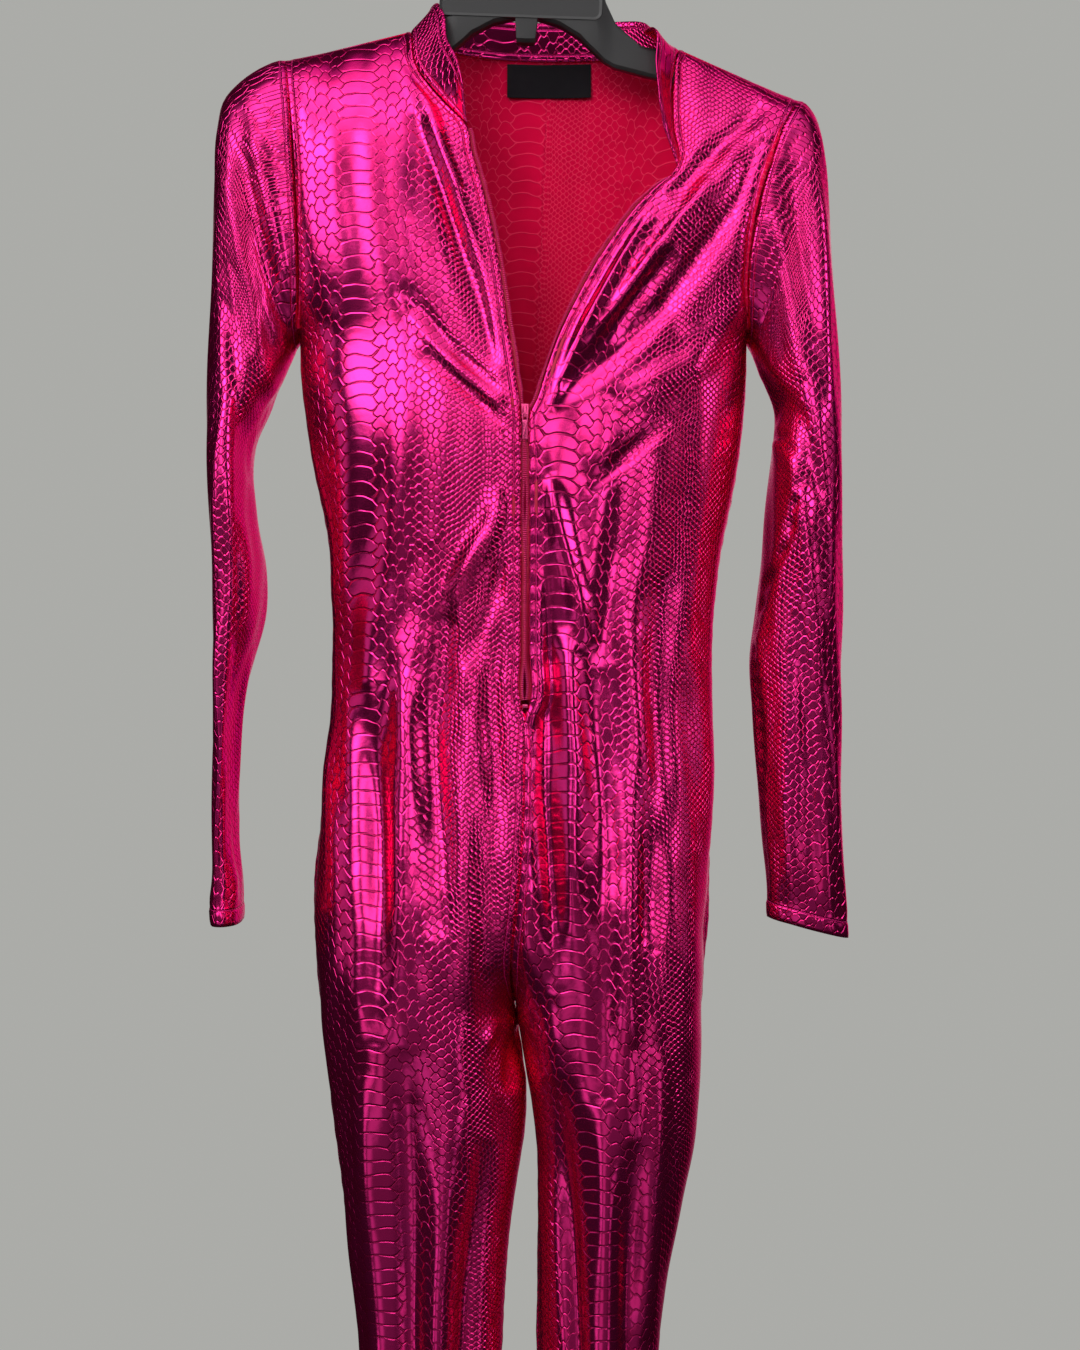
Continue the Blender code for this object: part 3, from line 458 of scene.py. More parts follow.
def sleeve_rings(side: Side, columns: int) -> Grid:
    """Main rings of a sleeve, from the armhole to the cuff, each from the underarm round the front."""
    turn = np.linspace(0.0, 2.0 * math.pi, columns + 1)
    cosine, sine = signed_power(-np.cos(turn), 2.0 / SQUARENESS), signed_power(np.sin(turn), 2.0 / SQUARENESS)
    hole = ARMHOLES[side]
    rings = []
    for number, (out_x, out_z, in_x, in_z, front, back) in enumerate(SLEEVES[side]):
        outer, inner = np.array((out_x, 0.0, out_z)), np.array((in_x, 0.0, in_z))
        middle = (outer + inner) / 2.0
        ring = middle + (outer - middle) * cosine[:, None]
        ring[:, 1] = -sine * np.where(sine > 0, front, back)
        scoop = np.where(sine > 0, hole.scoop_front, hole.scoop_back) * max(1.0 - number / SCOOPED_RINGS, 0.0)
        ring[:, 0] -= side.value * scoop * np.sin(turn) ** 2
        rings.append(ring)
    return np.array(rings)


def neck_seam(side: Side) -> Grid:
    """The neck seam of one side, from the front corner over the shoulder to the centre back."""
    front = np.array(FRONT_EDGES[side][NECK_CORNER_ROW:], float)
    shares = SHOULDER_SHARE + (1.0 - SHOULDER_SHARE) * np.arange(1, 6) / 5
    return np.concatenate((front, back_top(side, shares)))


# ---- folds ----

LEAN_SHARE = 0.6  # how much narrower the steep side of a fully leaning fold is


@dataclass(frozen=True)
class Fold:
    """A ridge or trough in the cloth, seen from the front or the back.

    Attributes:
        path: Points x, z in millimetres that its line passes through.
        rise: Height along the cloth's normal; troughs are negative.
        width: Half width.
        lean: From -1 to 1: how much steeper the side is that lies to the left of the line's run.
        head: How full the fold is at its first point, from 0 to 1.
        tail: How full it is at its last point.
    """

    path: tuple[tuple[float, float], ...]
    rise: float
    width: float
    lean: float = 0.0
    head: float = 0.0
    tail: float = 0.0

    def height(self, flat: Grid) -> Grid:
        """Height over a grid of x, z points."""
        path = np.array(self.path, float)
        lengths = np.linalg.norm(np.diff(path, axis=0), axis=1)
        total, start = lengths.sum(), 0.0
        best = np.full(flat.shape[:-1], np.inf)
        place, turn = np.zeros_like(best), np.zeros_like(best)
        for low, high, length in zip(path[:-1], path[1:], lengths):
            run = high - low
            here = flat - low
            along = np.clip((here @ run) / length**2, 0.0, 1.0)
            away = np.linalg.norm(here - along[..., None] * run, axis=-1)
            nearer = away < best
            cross = run[0] * here[..., 1] - run[1] * here[..., 0]
            best = np.where(nearer, away, best)
            place = np.where(nearer, (start + along * length) / total, place)
            turn = np.where(nearer, np.sign(cross), turn)
            start += length
        fullness = np.sqrt(np.clip(np.sin(np.pi * place), 0.0, 1.0))
        fullness = np.maximum(fullness, np.where(place < 0.5, self.head, self.tail))
        spread = self.width * (1.0 - self.lean * turn * LEAN_SHARE)
        ratio = best / spread
        return self.rise * fullness * np.exp(-(ratio**2) * (1.0 + 0.25 * ratio))


@dataclass(frozen=True)
class Ripple:
    """Uneven shallow waves that run mostly down the cloth.

    Attributes:
        wave: Distance from crest to crest across the cloth.
        rise: Height.
        slant: Sideways run for each unit downwards.
        sway: Sideways wander, in parts of a wave.
        sway_length: Length of that wander down the cloth.
        phase: Start, in turns.
    """

    wave: float
    rise: float
    slant: float
    sway: float
    sway_length: float
    phase: float

    def height(self, across: Grid, down: Grid) -> Grid:
        """Height at places across and down the cloth."""
        sway = self.sway * np.sin(2 * np.pi * (down / self.sway_length + self.phase * 3.1))
        turn = across / self.wave + self.slant * down / self.wave + sway + self.phase
        swell = 0.6 + 0.4 * np.sin(2 * np.pi * (down / (self.sway_length * 1.7) + self.phase * 1.7))
        return self.rise * swell * np.sin(2 * np.pi * turn)


RIPPLES = (
    Ripple(58.0, 1.8, 0.05, 0.25, 520.0, 0.13),
    Ripple(37.0, 1.4, -0.04, 0.30, 430.0, 0.57),
    Ripple(24.0, 0.75, 0.06, 0.30, 330.0, 0.31),
    Ripple(90.0, 0.45, 0.9, 0.30, 230.0, 0.83),
    Ripple(70.0, 0.30, -0.8, 0.40, 190.0, 0.44),
)

FRONT_FOLDS = {
    Side.RIGHT: [
        Fold(((-87, -137), (-67, -200), (-43, -267), (-22, -347), (-10, -394)), 7.5, 7, 0.2, 0.0, 0.6),
        Fold(((-47, -241), (-37, -287), (-20, -360), (-11, -391)), -6.0, 6, 0.2, 0.0, 0.4),
        Fold(((-80, -184), (-60, -241), (-37, -314), (-20, -376)), -6.5, 8),
        Fold(((-90, -314), (-57, -357), (-13, -397)), -5.0, 6),
        Fold(((-84, -332), (-50, -373), (-12, -406)), 4.0, 6, -0.3),
        Fold(((-76, -360), (-42, -390), (-12, -420)), -4.0, 6, -0.4),
        Fold(((-112, -600), (-111, -730), (-108, -860)), -8.0, 13, 0.2),
        Fold(((-88, -590), (-90, -720), (-86, -900)), 4.0, 9),
        Fold(((-60, -500), (-68, -630), (-66, -780)), -6.0, 12),
        Fold(((-40, -620), (-44, -740), (-40, -860)), 4.0, 9),
        Fold(((-24, -560), (-22, -680), (-26, -800)), -4.0, 8),
        Fold(((-32, -488), (-48, -520), (-66, -552)), 4.5, 7),
        Fold(((-14, -462), (-32, -505), (-54, -556)), 5.0, 8, 0.3),
        Fold(((-10, -500), (-26, -540), (-44, -590)), -4.5, 7),
        Fold(((-90, -860), (-84, -1010), (-82, -1200)), -6.5, 11, 0.0, 0.0, 0.3),
        Fold(((-120, -880), (-110, -1040), (-102, -1230)), 5.0, 9),
        Fold(((-56, -900), (-64, -1040), (-66, -1230)), 5.0, 9),
        Fold(((-30, -930), (-44, -1050), (-50, -1200)), -5.0, 8),
        Fold(((-20, -844), (-32, -866)), 3.0, 5),
        Fold(((-8, -855), (-11, -900)), -4.0, 6),
    ],
    Side.LEFT: [
        Fold(((77, -263), (40, -328), (15, -378)), -6.0, 6),
        Fold(((85, -257), (47, -327), (11, -394)), 7.5, 7, -0.2, 0.0, 0.6),
        Fold(((106, -287), (57, -347), (23, -387)), -7.0, 8),
        Fold(((134, -234), (87, -297), (40, -364), (13, -397)), 6.5, 7, -0.2, 0.0, 0.5),
        Fold(((170, -200), (147, -260), (100, -327), (46, -377), (16, -398)), -8.0, 10, 0.2),
        Fold(((162, -312), (118, -370), (60, -402)), 4.5, 12),
        Fold(((176, -170), (140, -206), (104, -250)), -5.0, 9, -0.2),
        Fold(((178, -216), (168, -270), (160, -328)), -5.0, 6),
        Fold(((8, -482), (12, -560), (16, -690), (22, -820)), -8.5, 9, -0.3),
        Fold(((14, -492), (18, -540), (19, -580)), 3.0, 6),
        Fold(((14, -452), (28, -505), (44, -575)), 5.5, 8),
        Fold(((30, -560), (34, -660), (32, -780)), 4.5, 8),
        Fold(((104, -410), (72, -438), (44, -460)), -5.0, 7, 0.4),
        Fold(((58, -590), (54, -720), (54, -900)), -6.5, 12),
        Fold(((80, -560), (76, -700), (72, -860)), 4.0, 9),
        Fold(((100, -520), (98, -640), (92, -790)), -6.0, 11),
        Fold(((20, -885), (30, -1000), (40, -1130), (44, -1260)), -7.5, 9, 0.0, 0.0, 0.5),
        Fold(((76, -930), (74, -1090), (70, -1260)), -5.5, 9, 0.0, 0.0, 0.5),
        Fold(((54, -900), (58, -1040), (58, -1230)), 4.5, 9),
        Fold(((100, -860), (92, -960), (86, -1080)), 4.5, 9),
    ],
}
BACK_FOLDS = {
    Side.RIGHT: [
        Fold(((-60, -190), (-52, -300), (-40, -420)), 4.0, 14),
        Fold(((-120, -260), (-96, -340), (-58, -420)), -4.0, 12),
        Fold(((-90, -560), (-90, -700), (-84, -860)), -5.0, 14),
        Fold(((-40, -600), (-44, -710), (-52, -830)), 4.0, 12),
        Fold(((-80, -900), (-78, -1070), (-74, -1250)), -4.0, 12),
        Fold(((-46, -880), (-54, -1000), (-58, -1130)), 3.5, 11),
        Fold(((-20, -850), (-46, -880), (-86, -898)), -3.5, 9),
    ],
    Side.LEFT: [
        Fold(((80, -210), (70, -320), (55, -430)), 4.0, 14),
        Fold(((140, -280), (110, -350), (66, -430)), -4.0, 12),
        Fold(((84, -580), (82, -730), (76, -880)), -5.0, 14),
        Fold(((36, -620), (40, -730), (46, -840)), 4.0, 12),
        Fold(((58, -910), (58, -1080), (54, -1260)), -4.0, 12),
        Fold(((84, -900), (78, -1010), (74, -1140)), 3.5, 11),
        Fold(((0, -850), (28, -884), (66, -900)), -3.5, 9),
    ],
}


# ---- cloth shells ----


def new_mesh(name: str, vertices: Grid, faces: list, materials: tuple[Material, ...]) -> Obj:
    """Make an object of smooth faces from points in millimetres."""
    mesh = bpy.data.meshes.new(name)
    mesh.from_pydata((vertices * MM).tolist(), [], faces)
    for material in materials:
        mesh.materials.append(material)
    mesh.polygons.foreach_set("use_smooth", np.ones(len(mesh.polygons), bool))
    return link(bpy.data.objects.new(name, mesh))


def link(made: Obj) -> Obj:
    """Put an object into the scene."""
    bpy.context.scene.collection.objects.link(made)
    return made


def dress(made: Obj, slot: str, node: str | None = None, body: str = "garment", **sheet: object) -> Obj:
    """Attach a piece to the body that it rides on, and hide the frame node that it replaces.

    Args:
        made: The piece.
        slot: Not used.
        node: Frame node that it replaces.
        body: Body that it rides on.
        sheet: Not used.

    Returns:
        The piece.
    """
    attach(made, body)
    if node:
        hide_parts(node)
    return made


@dataclass
class ClothShell:
    """A cloth piece as a grid of points on its outer face, turned into a closed wall.

    Attributes:
        name: Name of the piece.
        points: Rows of points in millimetres, from the top down.
        closed: Whether the last column repeats the first, as round a sleeve.
        wall: Thickness.
        pattern: Place of each point in the cloth's pattern, in metres.
        gap: How far the piece stops short of its seams.
    """

    name: str
    points: Grid
    pattern: Grid
    closed: bool = False
    wall: float = CLOTH
    gap: float = SEAM_GAP
    normals: Grid = field(init=False)

    def __post_init__(self) -> None:
        """Find which way is out."""
        self.normals = self.outward()

    def outward(self) -> Grid:
        """Normals that point away from the inside of the piece."""
        normals = surface_normals(self.points, self.closed)
        middle = self.points.mean(axis=1, keepdims=True)
        if not self.closed:
            middle[..., 1] = 0.0
        if ((self.points - middle) * normals).sum() < 0:
            return -normals
        return normals

    def lift(self, height: Grid) -> None:
        """Move the points along their normals and find the normals again."""
        self.points = self.points + self.normals * height[..., None]
        self.normals = self.outward()

    def stop_short(self) -> None:
        """Leave half the seam's gap at each border."""
        points = self.points.copy()
        pairs = [((0,), (1,)), ((-1,), (-2,))]
        if not self.closed:
            pairs += [((slice(None), 0), (slice(None), 1)), ((slice(None), -1), (slice(None), -2))]
        for edge, beside in pairs:
            points[edge] += unit(self.points[beside] - self.points[edge]) * self.gap
        self.points = points

    def border_share(self) -> Grid:
        """Share by which the wall's faces close in on each other, at the borders only."""
        share = np.zeros(self.points.shape[:2])
        share[[0, -1]] = EDGE_SHARE
        if not self.closed:
            share[:, [0, -1]] = EDGE_SHARE
        return share[..., None]

    def build(self, outside: Material, inside: Material,
              masks: dict[str, Grid] | None = None) -> Obj:
        """Make the wall as one object.

        Args:
            outside: Material of the outer face and the edges.
            inside: Material of the inner face.
            masks: Named values at each point, for the materials.

        Returns:
            The finished object.
        """
        self.stop_short()
        rows, columns = self.points.shape[:2]
        wide = columns - 1 if self.closed else columns
        close_in = self.border_share() * self.wall
        outer = (self.points - self.normals * close_in)[:, :wide]
        inner = (self.points - self.normals * (self.wall - close_in))[:, :wide]
        vertices = np.concatenate((outer.reshape(-1, 3), inner.reshape(-1, 3)))
        layer = rows * wide
        j, i = np.meshgrid(np.arange(rows - 1), np.arange(columns - 1), indexing="ij")
        k = (i + 1) % wide
        a, b, c, d = j * wide + i, (j + 1) * wide + i, (j + 1) * wide + k, j * wide + k
        outer_faces = np.stack((a, b, c, d), axis=-1).reshape(-1, 4)
        inner_faces = np.stack((a, d, c, b), axis=-1).reshape(-1, 4) + layer
        grid_uv = self.pattern
        corner = [grid_uv[:-1, :-1], grid_uv[1:, :-1], grid_uv[1:, 1:], grid_uv[:-1, 1:]]
        outer_uv = np.stack(corner, axis=2).reshape(-1, 4, 2)
        inner_uv = outer_uv[:, [0, 3, 2, 1]]
        rims, rim_uv = [], []

        def rim(first: Grid, uv: Grid) -> None:
            """Close the wall along one border."""
            low, high = first[:-1], first[1:]
            rims.append(np.stack((low, high, high + layer, low + layer), axis=-1))
            rim_uv.append(np.stack((uv[:-1], uv[1:], uv[1:], uv[:-1]), axis=1))

        ring = np.arange(columns) % wide
        rim(ring, grid_uv[0])
        rim(((rows - 1) * wide + ring)[::-1], grid_uv[-1][::-1])
        if not self.closed:
            down = np.arange(rows) * wide
            rim(down[::-1], grid_uv[::-1, 0])
            rim(down + wide - 1, grid_uv[:, -1])
        faces = np.concatenate([outer_faces, inner_faces] + rims)
        uvs = np.concatenate([outer_uv, inner_uv] + rim_uv)
        inner_from, inner_to = len(outer_faces), len(outer_faces) + len(inner_faces)

        made = new_mesh(self.name, vertices, faces.tolist(), (outside, inside))
        mesh = made.data
        layer_uv = mesh.uv_layers.new(name="pattern")
        layer_uv.data.foreach_set("uv", uvs.reshape(-1).astype(np.float32))
        index = np.zeros(len(faces), np.int32)
        index[inner_from:inner_to] = 1
        mesh.polygons.foreach_set("material_index", index)
        for name, values in (masks or {}).items():
            attribute = mesh.attributes.new(name, "FLOAT", "POINT")
            both = np.tile(values[:, :wide].reshape(-1), 2).astype(np.float32)
            attribute.data.foreach_set("value", both)
        mesh.update()
        turn_outwards(made)
        log.info("%s: %d triangles", self.name, 2 * len(faces))
        return made


def turn_outwards(made: Obj) -> None:
    """Turn all faces of a closed mesh outwards."""
    work = bmesh.new()
    work.from_mesh(made.data)
    if work.calc_volume(signed=True) < 0:
        bmesh.ops.reverse_faces(work, faces=work.faces)
        work.to_mesh(made.data)
    work.free()


# ---- finishes ----


@dataclass(frozen=True)
class Signal:
    """A value in a shader; sums, products and sizes of it add their nodes."""

    graph: Graph
    socket: bpy.types.NodeSocket

    def __add__(self, other: object) -> Signal:
        """Sum."""
        return self.graph.math("ADD", self, other)

    def __sub__(self, other: object) -> Signal:
        """Difference."""
        return self.graph.math("SUBTRACT", self, other)

    def __rsub__(self, other: float) -> Signal:
        """What is left of a number."""
        return self.graph.math("SUBTRACT", other, self)

    def __mul__(self, other: object) -> Signal:
        """Product."""
        return self.graph.math("MULTIPLY", self, other)

    def __abs__(self) -> Signal:
        """Size without the sign."""
        return self.graph.math("ABSOLUTE", self)


class Graph:
    """Adds shader nodes to a tree and links them."""

    def __init__(self, tree: Tree) -> None:
        """Keep the tree."""
        self.tree = tree

    def fill(self, node: bpy.types.Node, inputs: dict) -> None:
        """Set a node's inputs; each is a value or a signal."""
        for key, value in inputs.items():
            if isinstance(value, Signal):
                self.tree.links.new(value.socket, node.inputs[key])
            else:
                node.inputs[key].default_value = value

    def node(self, kind: str, inputs: dict | None = None, **settings: object) -> bpy.types.Node:
        """Add a node with its settings and inputs."""
        made = self.tree.nodes.new("ShaderNode" + kind)
        for key, value in settings.items():
            setattr(made, key, value)
        self.fill(made, inputs or {})
        return made

    def read(self, kind: str, inputs: dict | None = None, socket: int | str = 0, **settings: object) -> Signal:
        """Add a node and give one of its outputs."""
        return Signal(self, self.node(kind, inputs, **settings).outputs[socket])

    def math(self, operation: str, *values: object) -> Signal:
        """A function of values."""
        return self.read("Math", dict(enumerate(values)), operation=operation)

    def vector(self, operation: str, *values: object) -> Signal:
        """A function of vectors."""
        socket = "Value" if operation in ("LENGTH", "DOT_PRODUCT") else "Vector"
        return self.read("VectorMath", dict(enumerate(values)), socket, operation=operation)

    def split(self, vector: Signal) -> list[Signal]:
        """The three parts of a vector."""
        return [Signal(self, part) for part in self.node("SeparateXYZ", {0: vector}).outputs]

    def step(self, value: Signal, low: float, high: float) -> Signal:
        """Smooth step of a value, from 0 at low to 1 at high."""
        inputs = {"Value": value, "From Min": low, "From Max": high}
        return self.read("MapRange", inputs, "Result", interpolation_type="SMOOTHSTEP")

    def mix(self, share: Signal, first: object, second: object, kind: str = "RGBA") -> Signal:
        """Blend two colours, or two values or vectors."""
        number = ("FLOAT", "VECTOR", "RGBA").index(kind)
        inputs = {0: share, 2 + 2 * number: first, 3 + 2 * number: second}
        return self.read("Mix", inputs, number, data_type=kind)

    def noise(self, place: Signal, scale: float, detail: float = 2.0, socket: int = 0) -> Signal:
        """Noise around 0.5; the second socket has one for each direction."""
        return self.read("TexNoise", {"Vector": place, "Scale": scale, "Detail": detail}, socket)

    def bump(self, strength: object, distance: float, height: Signal, under: Signal | None = None) -> Signal:
        """Normals of a height, on top of other ones."""
        inputs = {"Strength": strength, "Distance": distance, "Height": height}
        return self.read("Bump", inputs if under is None else {**inputs, "Normal": under})

    def group(self, tree: Tree, inputs: dict) -> dict[str, Signal]:
        """Place a node group; gives its outputs by name."""
        outputs = self.node("Group", inputs, node_tree=tree).outputs
        return {output.name: Signal(self, output) for output in outputs}


def new_group(name: str, kind: str, inputs: tuple[str, ...], outputs: tuple[str, ...]
              ) -> tuple[Graph, dict[str, Signal], bpy.types.Node]:
    """Start a shader node group.

    Args:
        name: Name of the group.
        kind: Socket kind of its inputs.
        inputs: Names of the inputs.
        outputs: Names of the outputs, which are values.

    Returns:
        Its graph, its inputs by name, and its output node.
    """
    tree = bpy.data.node_groups.new(name, "ShaderNodeTree")
    for words, way, socket in ((inputs, "INPUT", kind), (outputs, "OUTPUT", "NodeSocketFloat")):
        for word in words:
            tree.interface.new_socket(word, in_out=way, socket_type=socket)
    start, end = tree.nodes.new("NodeGroupInput"), tree.nodes.new("NodeGroupOutput")
    graph = Graph(tree)
    return graph, {word: Signal(graph, start.outputs[word]) for word in inputs}, end


def new_material(name: str) -> tuple[Material, Graph, bpy.types.Node]:
    """Start a material; returns it, its graph and its Principled shader."""
    made = bpy.data.materials.new(name)
    made.use_nodes = True
    return made, Graph(made.node_tree), made.node_tree.nodes["Principled BSDF"]


@dataclass(frozen=True)
class ScaleZone:
    """One width zone of the embossed scales, in metres.

    Attributes:
        start: Distance from the middle of the broad scales at which the zone starts.
        pair: Width of two columns of scales at its start.
        pair_end: The same at its far end.
        length: How wide the zone is.
        row: Height of a scale.
        bend: How far the upper and lower edges curve down, in parts of a row.
        diamond: How far the scales are diamonds instead of hexagons.
    """

    start: float
    pair: float
    pair_end: float
    length: float
    row: float
    bend: float = 0.0
    diamond: float = 0.9

    def columns(self, offset: Signal) -> Signal:
        """Pairs of columns that fit between the zone's start and a place beyond it."""
        crowd = (1.0 / self.pair_end - 1.0 / self.pair) / (2.0 * self.length)
        return offset * (1.0 / self.pair) + offset * offset * crowd

    def cells(self, graph: Graph, across: Signal, down: Signal) -> tuple[Signal, Signal, Signal]:
        """Staggered scales of the zone.

        Args:
            graph: Where the nodes go.
            across: Place across the cloth, in pairs of columns.
            down: Place down the cloth, in metres.

        Returns:
            Distance to the scale's edge, place down the scale from -0.5 to 0.5, and a value of its own.
        """
        bend = graph.math("COSINE", across * (4.0 * math.pi))
        rows = graph.math("MULTIPLY_ADD", bend, self.bend, graph.math("DIVIDE", down, self.row))
        place = graph.read("CombineXYZ", {0: across, 1: rows})
        centred, metric, number = [], [], []
        for shift in (0.0, 0.5):
            moved = graph.vector("ADD", place, (shift, shift, 0.0))
            inside = graph.vector("SUBTRACT", graph.vector("FRACTION", moved), (0.5, 0.5, 0.0))
            sized = graph.vector("ABSOLUTE", graph.vector("MULTIPLY", inside, (self.pair, self.row, 0.0)))
            centred.append(inside)
            metric.append(graph.vector("LENGTH", sized) + graph.vector("DOT_PRODUCT", sized, (self.diamond,) * 3))
            number.append(graph.vector("ADD", graph.vector("FLOOR", moved), (shift, shift * 0.7, shift)))
        second = graph.math("LESS_THAN", metric[1], metric[0])
        parts = graph.split(graph.mix(second, *centred, "VECTOR"))
        gap = abs(metric[0] - metric[1]) * (0.62 / (1.0 + 1.3 * self.diamond))
        beside, above = (0.5 - abs(parts[0])) * self.pair, (0.5 - abs(parts[1])) * self.row
        edge = graph.math("MINIMUM", graph.math("MINIMUM", beside, above), gap)
        ident = graph.mix(second, *number, "VECTOR")
        return edge, parts[1], graph.read("TexWhiteNoise", {"Vector": ident}, "Value", noise_dimensions="3D")


@dataclass(frozen=True)
class ScaleEmboss:
    """Snakeskin emboss: broad scales in a column, smaller and smaller ones on both sides, and again.

    Attributes:
        repeat: Distance between the columns of broad scales, in metres, as all lengths here.
        broad_flat: Half width of the flat part of a broad scale.
        broad_end: Half width of a whole one.
        groove: Width of the grooves.
        wander: How far the scales stray from their even places.
        ragged: How far the borders of the zones stray.
        near, middle, far: The zones of smaller scales.
    """

    repeat: float = 0.195
    broad_flat: float = 0.011
    broad_end: float = 0.015
    groove: float = 0.0010
    wander: Point = (0.0085, 0.0060, 0.0)
    ragged: float = 0.008
    near: ScaleZone = ScaleZone(0.015, 0.0180, 0.0130, 0.027, 0.0102, 0.11, 0.35)
    middle: ScaleZone = ScaleZone(0.042, 0.0105, 0.0080, 0.024, 0.0068)
    far: ScaleZone = ScaleZone(0.066, 0.0068, 0.0054, 0.0315, 0.0044)

    def build(self) -> Tree:
        """Make the node group: height, groove and tint of the scales at a place in the pattern."""
        graph, given, end = new_group("snake scales", "NodeSocketVector", ("Cloth",), ("Height", "Groove", "Tint"))
        cloth, near = given["Cloth"], self.near
        shift = graph.vector("SUBTRACT", graph.noise(cloth, 48.0, 1.5, 1), (0.5, 0.5, 0.5))
        across, down, _ = graph.split(graph.vector("ADD", cloth, graph.vector("MULTIPLY", shift, self.wander)))
        away = abs(graph.math("WRAP", across, -self.repeat / 2, self.repeat / 2))
        flat = graph.math("MINIMUM", away, self.broad_flat) * (0.165 / self.broad_flat)
        slope = graph.read("MapRange", {"Value": away, "From Min": self.broad_flat, "From Max": self.broad_end,
                                        "To Min": 0.0, "To Max": 0.17}, "Result")
        beyond = graph.math("MAXIMUM", away - near.start, 0.0)
        where = away + graph.math("MULTIPLY_ADD", graph.noise(cloth, 90.0), 2.0 * self.ragged, -self.ragged)
        chosen = near.cells(graph, flat + slope + near.columns(beyond) + 0.5, down + near.row / 2)
        for zone in (self.middle, self.far):
            other = zone.cells(graph, zone.columns(away - zone.start), down)
            share = graph.math("GREATER_THAN", where, zone.start)
            chosen = [graph.mix(share, *pair, "FLOAT") for pair in zip(chosen, other)]
        edge, own_down, tint = chosen
        groove = 1.0 - graph.step(edge, self.groove * 0.15, self.groove * 0.75)
        graph.fill(end, {"Height": graph.step(edge, 0.0, 0.0011) + own_down * 0.22, "Groove": groove, "Tint": tint})
        return graph.tree


def build_stitch_group() -> Tree:
    """Node group: a row of sewing stitches at one distance from an edge, in millimetres."""
    graph, given, end = new_group("stitch row", "NodeSocketFloat", ("From edge", "Along", "At"),
                                  ("Thread", "Dip"))
    away = abs(given["From edge"] - given["At"])
    dash = graph.step(graph.math("PINGPONG", given["Along"], 1.4), 0.18, 0.42)
    graph.fill(end, {"Thread": (1.0 - graph.step(away, 0.15, 0.45)) * dash,
                     "Dip": 1.0 - graph.step(away, 0.2, 1.3)})
    return graph.tree


@dataclass(frozen=True)
class FoilCloth:
    """Outer face: metallic foil film on stretch cloth, embossed with scales."""

    bright: Colour = (0.94, 0.034, 0.310, 1.0)
    deep: Colour = (0.78, 0.018, 0.170, 1.0)
    groove: Colour = (0.74, 0.020, 0.130, 1.0)
    thread: Colour = (0.62, 0.010, 0.170, 1.0)
    sheen: Colour = (0.85, 0.10, 0.35, 1.0)
    metallic: float = 0.97
    roughness: float = 0.17
    emboss: float = 0.0005
    seam_row: float = 5.0  # distance of the stitches from an edge, in millimetres

    def build(self, scales: Tree, stitches: Tree) -> Material:
        """Make the material."""
        made, graph, shader = new_material("embossed pink foil")
        cloth = graph.read("UVMap", uv_map="pattern")
        skin = graph.group(scales, {"Cloth": cloth})
        patches = graph.noise(graph.read("TexCoord", socket="Object"), 9.0, 3.0)
        speckle = graph.noise(cloth, 2600.0)
        edge, along, pulled = (graph.read("Attribute", socket="Fac", attribute_name=name)
                               for name in ("from_edge", "along_edge", "strain"))
        sewing = graph.group(stitches, {"From edge": edge, "Along": along, "At": self.seam_row})
        thread = sewing["Thread"]
        colour = graph.mix(skin["Tint"] * 0.35 + patches * 0.65, self.deep, self.bright)
        colour = graph.mix(graph.step(speckle, 0.56, 0.72) * 0.35, colour, self.deep)
        colour = graph.mix(skin["Groove"] * 0.6, colour, self.groove)
        crinkle = graph.bump(0.4, 0.0005, graph.noise(cloth, 95.0), graph.bump(0.25, 0.00005, speckle))
        relief = graph.math("MULTIPLY_ADD", pulled, -0.42, 0.62)
        skin_bump = graph.bump(relief, self.emboss, skin["Height"], crinkle)
        graph.fill(shader, {
            "Base Color": graph.mix(thread, colour, self.thread),
            "Roughness": skin["Groove"] * 0.10 + self.roughness + (speckle - 0.5) * 0.10 + thread * 0.25,
            "Metallic": self.metallic - thread * 0.7,
            "Specular Tint": self.sheen,
            "Normal": graph.bump(0.9, 0.0006, thread * 0.6 - sewing["Dip"], skin_bump)})
        return made


@dataclass(frozen=True)
class ReverseCloth:
    """Inner face: matte red knit with the emboss showing as paler lines."""

    ground: Colour = (0.80, 0.001, 0.060, 1.0)
    dark: Colour = (0.60, 0.001, 0.040, 1.0)
    line: Colour = (0.90, 0.035, 0.120, 1.0)
    roughness: float = 0.7

    def build(self, scales: Tree) -> Material:
        """Make the material."""
        made, graph, shader = new_material("matte red reverse")
        cloth = graph.read("UVMap", uv_map="pattern")
        groove = graph.group(scales, {"Cloth": cloth})["Groove"]
        knit = graph.noise(cloth, 1800.0, 3.0)
        colour = graph.mix(graph.noise(cloth, 40.0, 3.0), self.dark, self.ground)
        graph.fill(shader, {
            "Base Color": graph.mix(groove * 0.75, colour, self.line),
            "Roughness": (knit - 0.5) * 0.3 + self.roughness,
            "Specular IOR Level": 0.06,
            "Normal": graph.bump(0.5, 0.0005, groove, graph.bump(0.4, 0.0002, knit))})
        return made


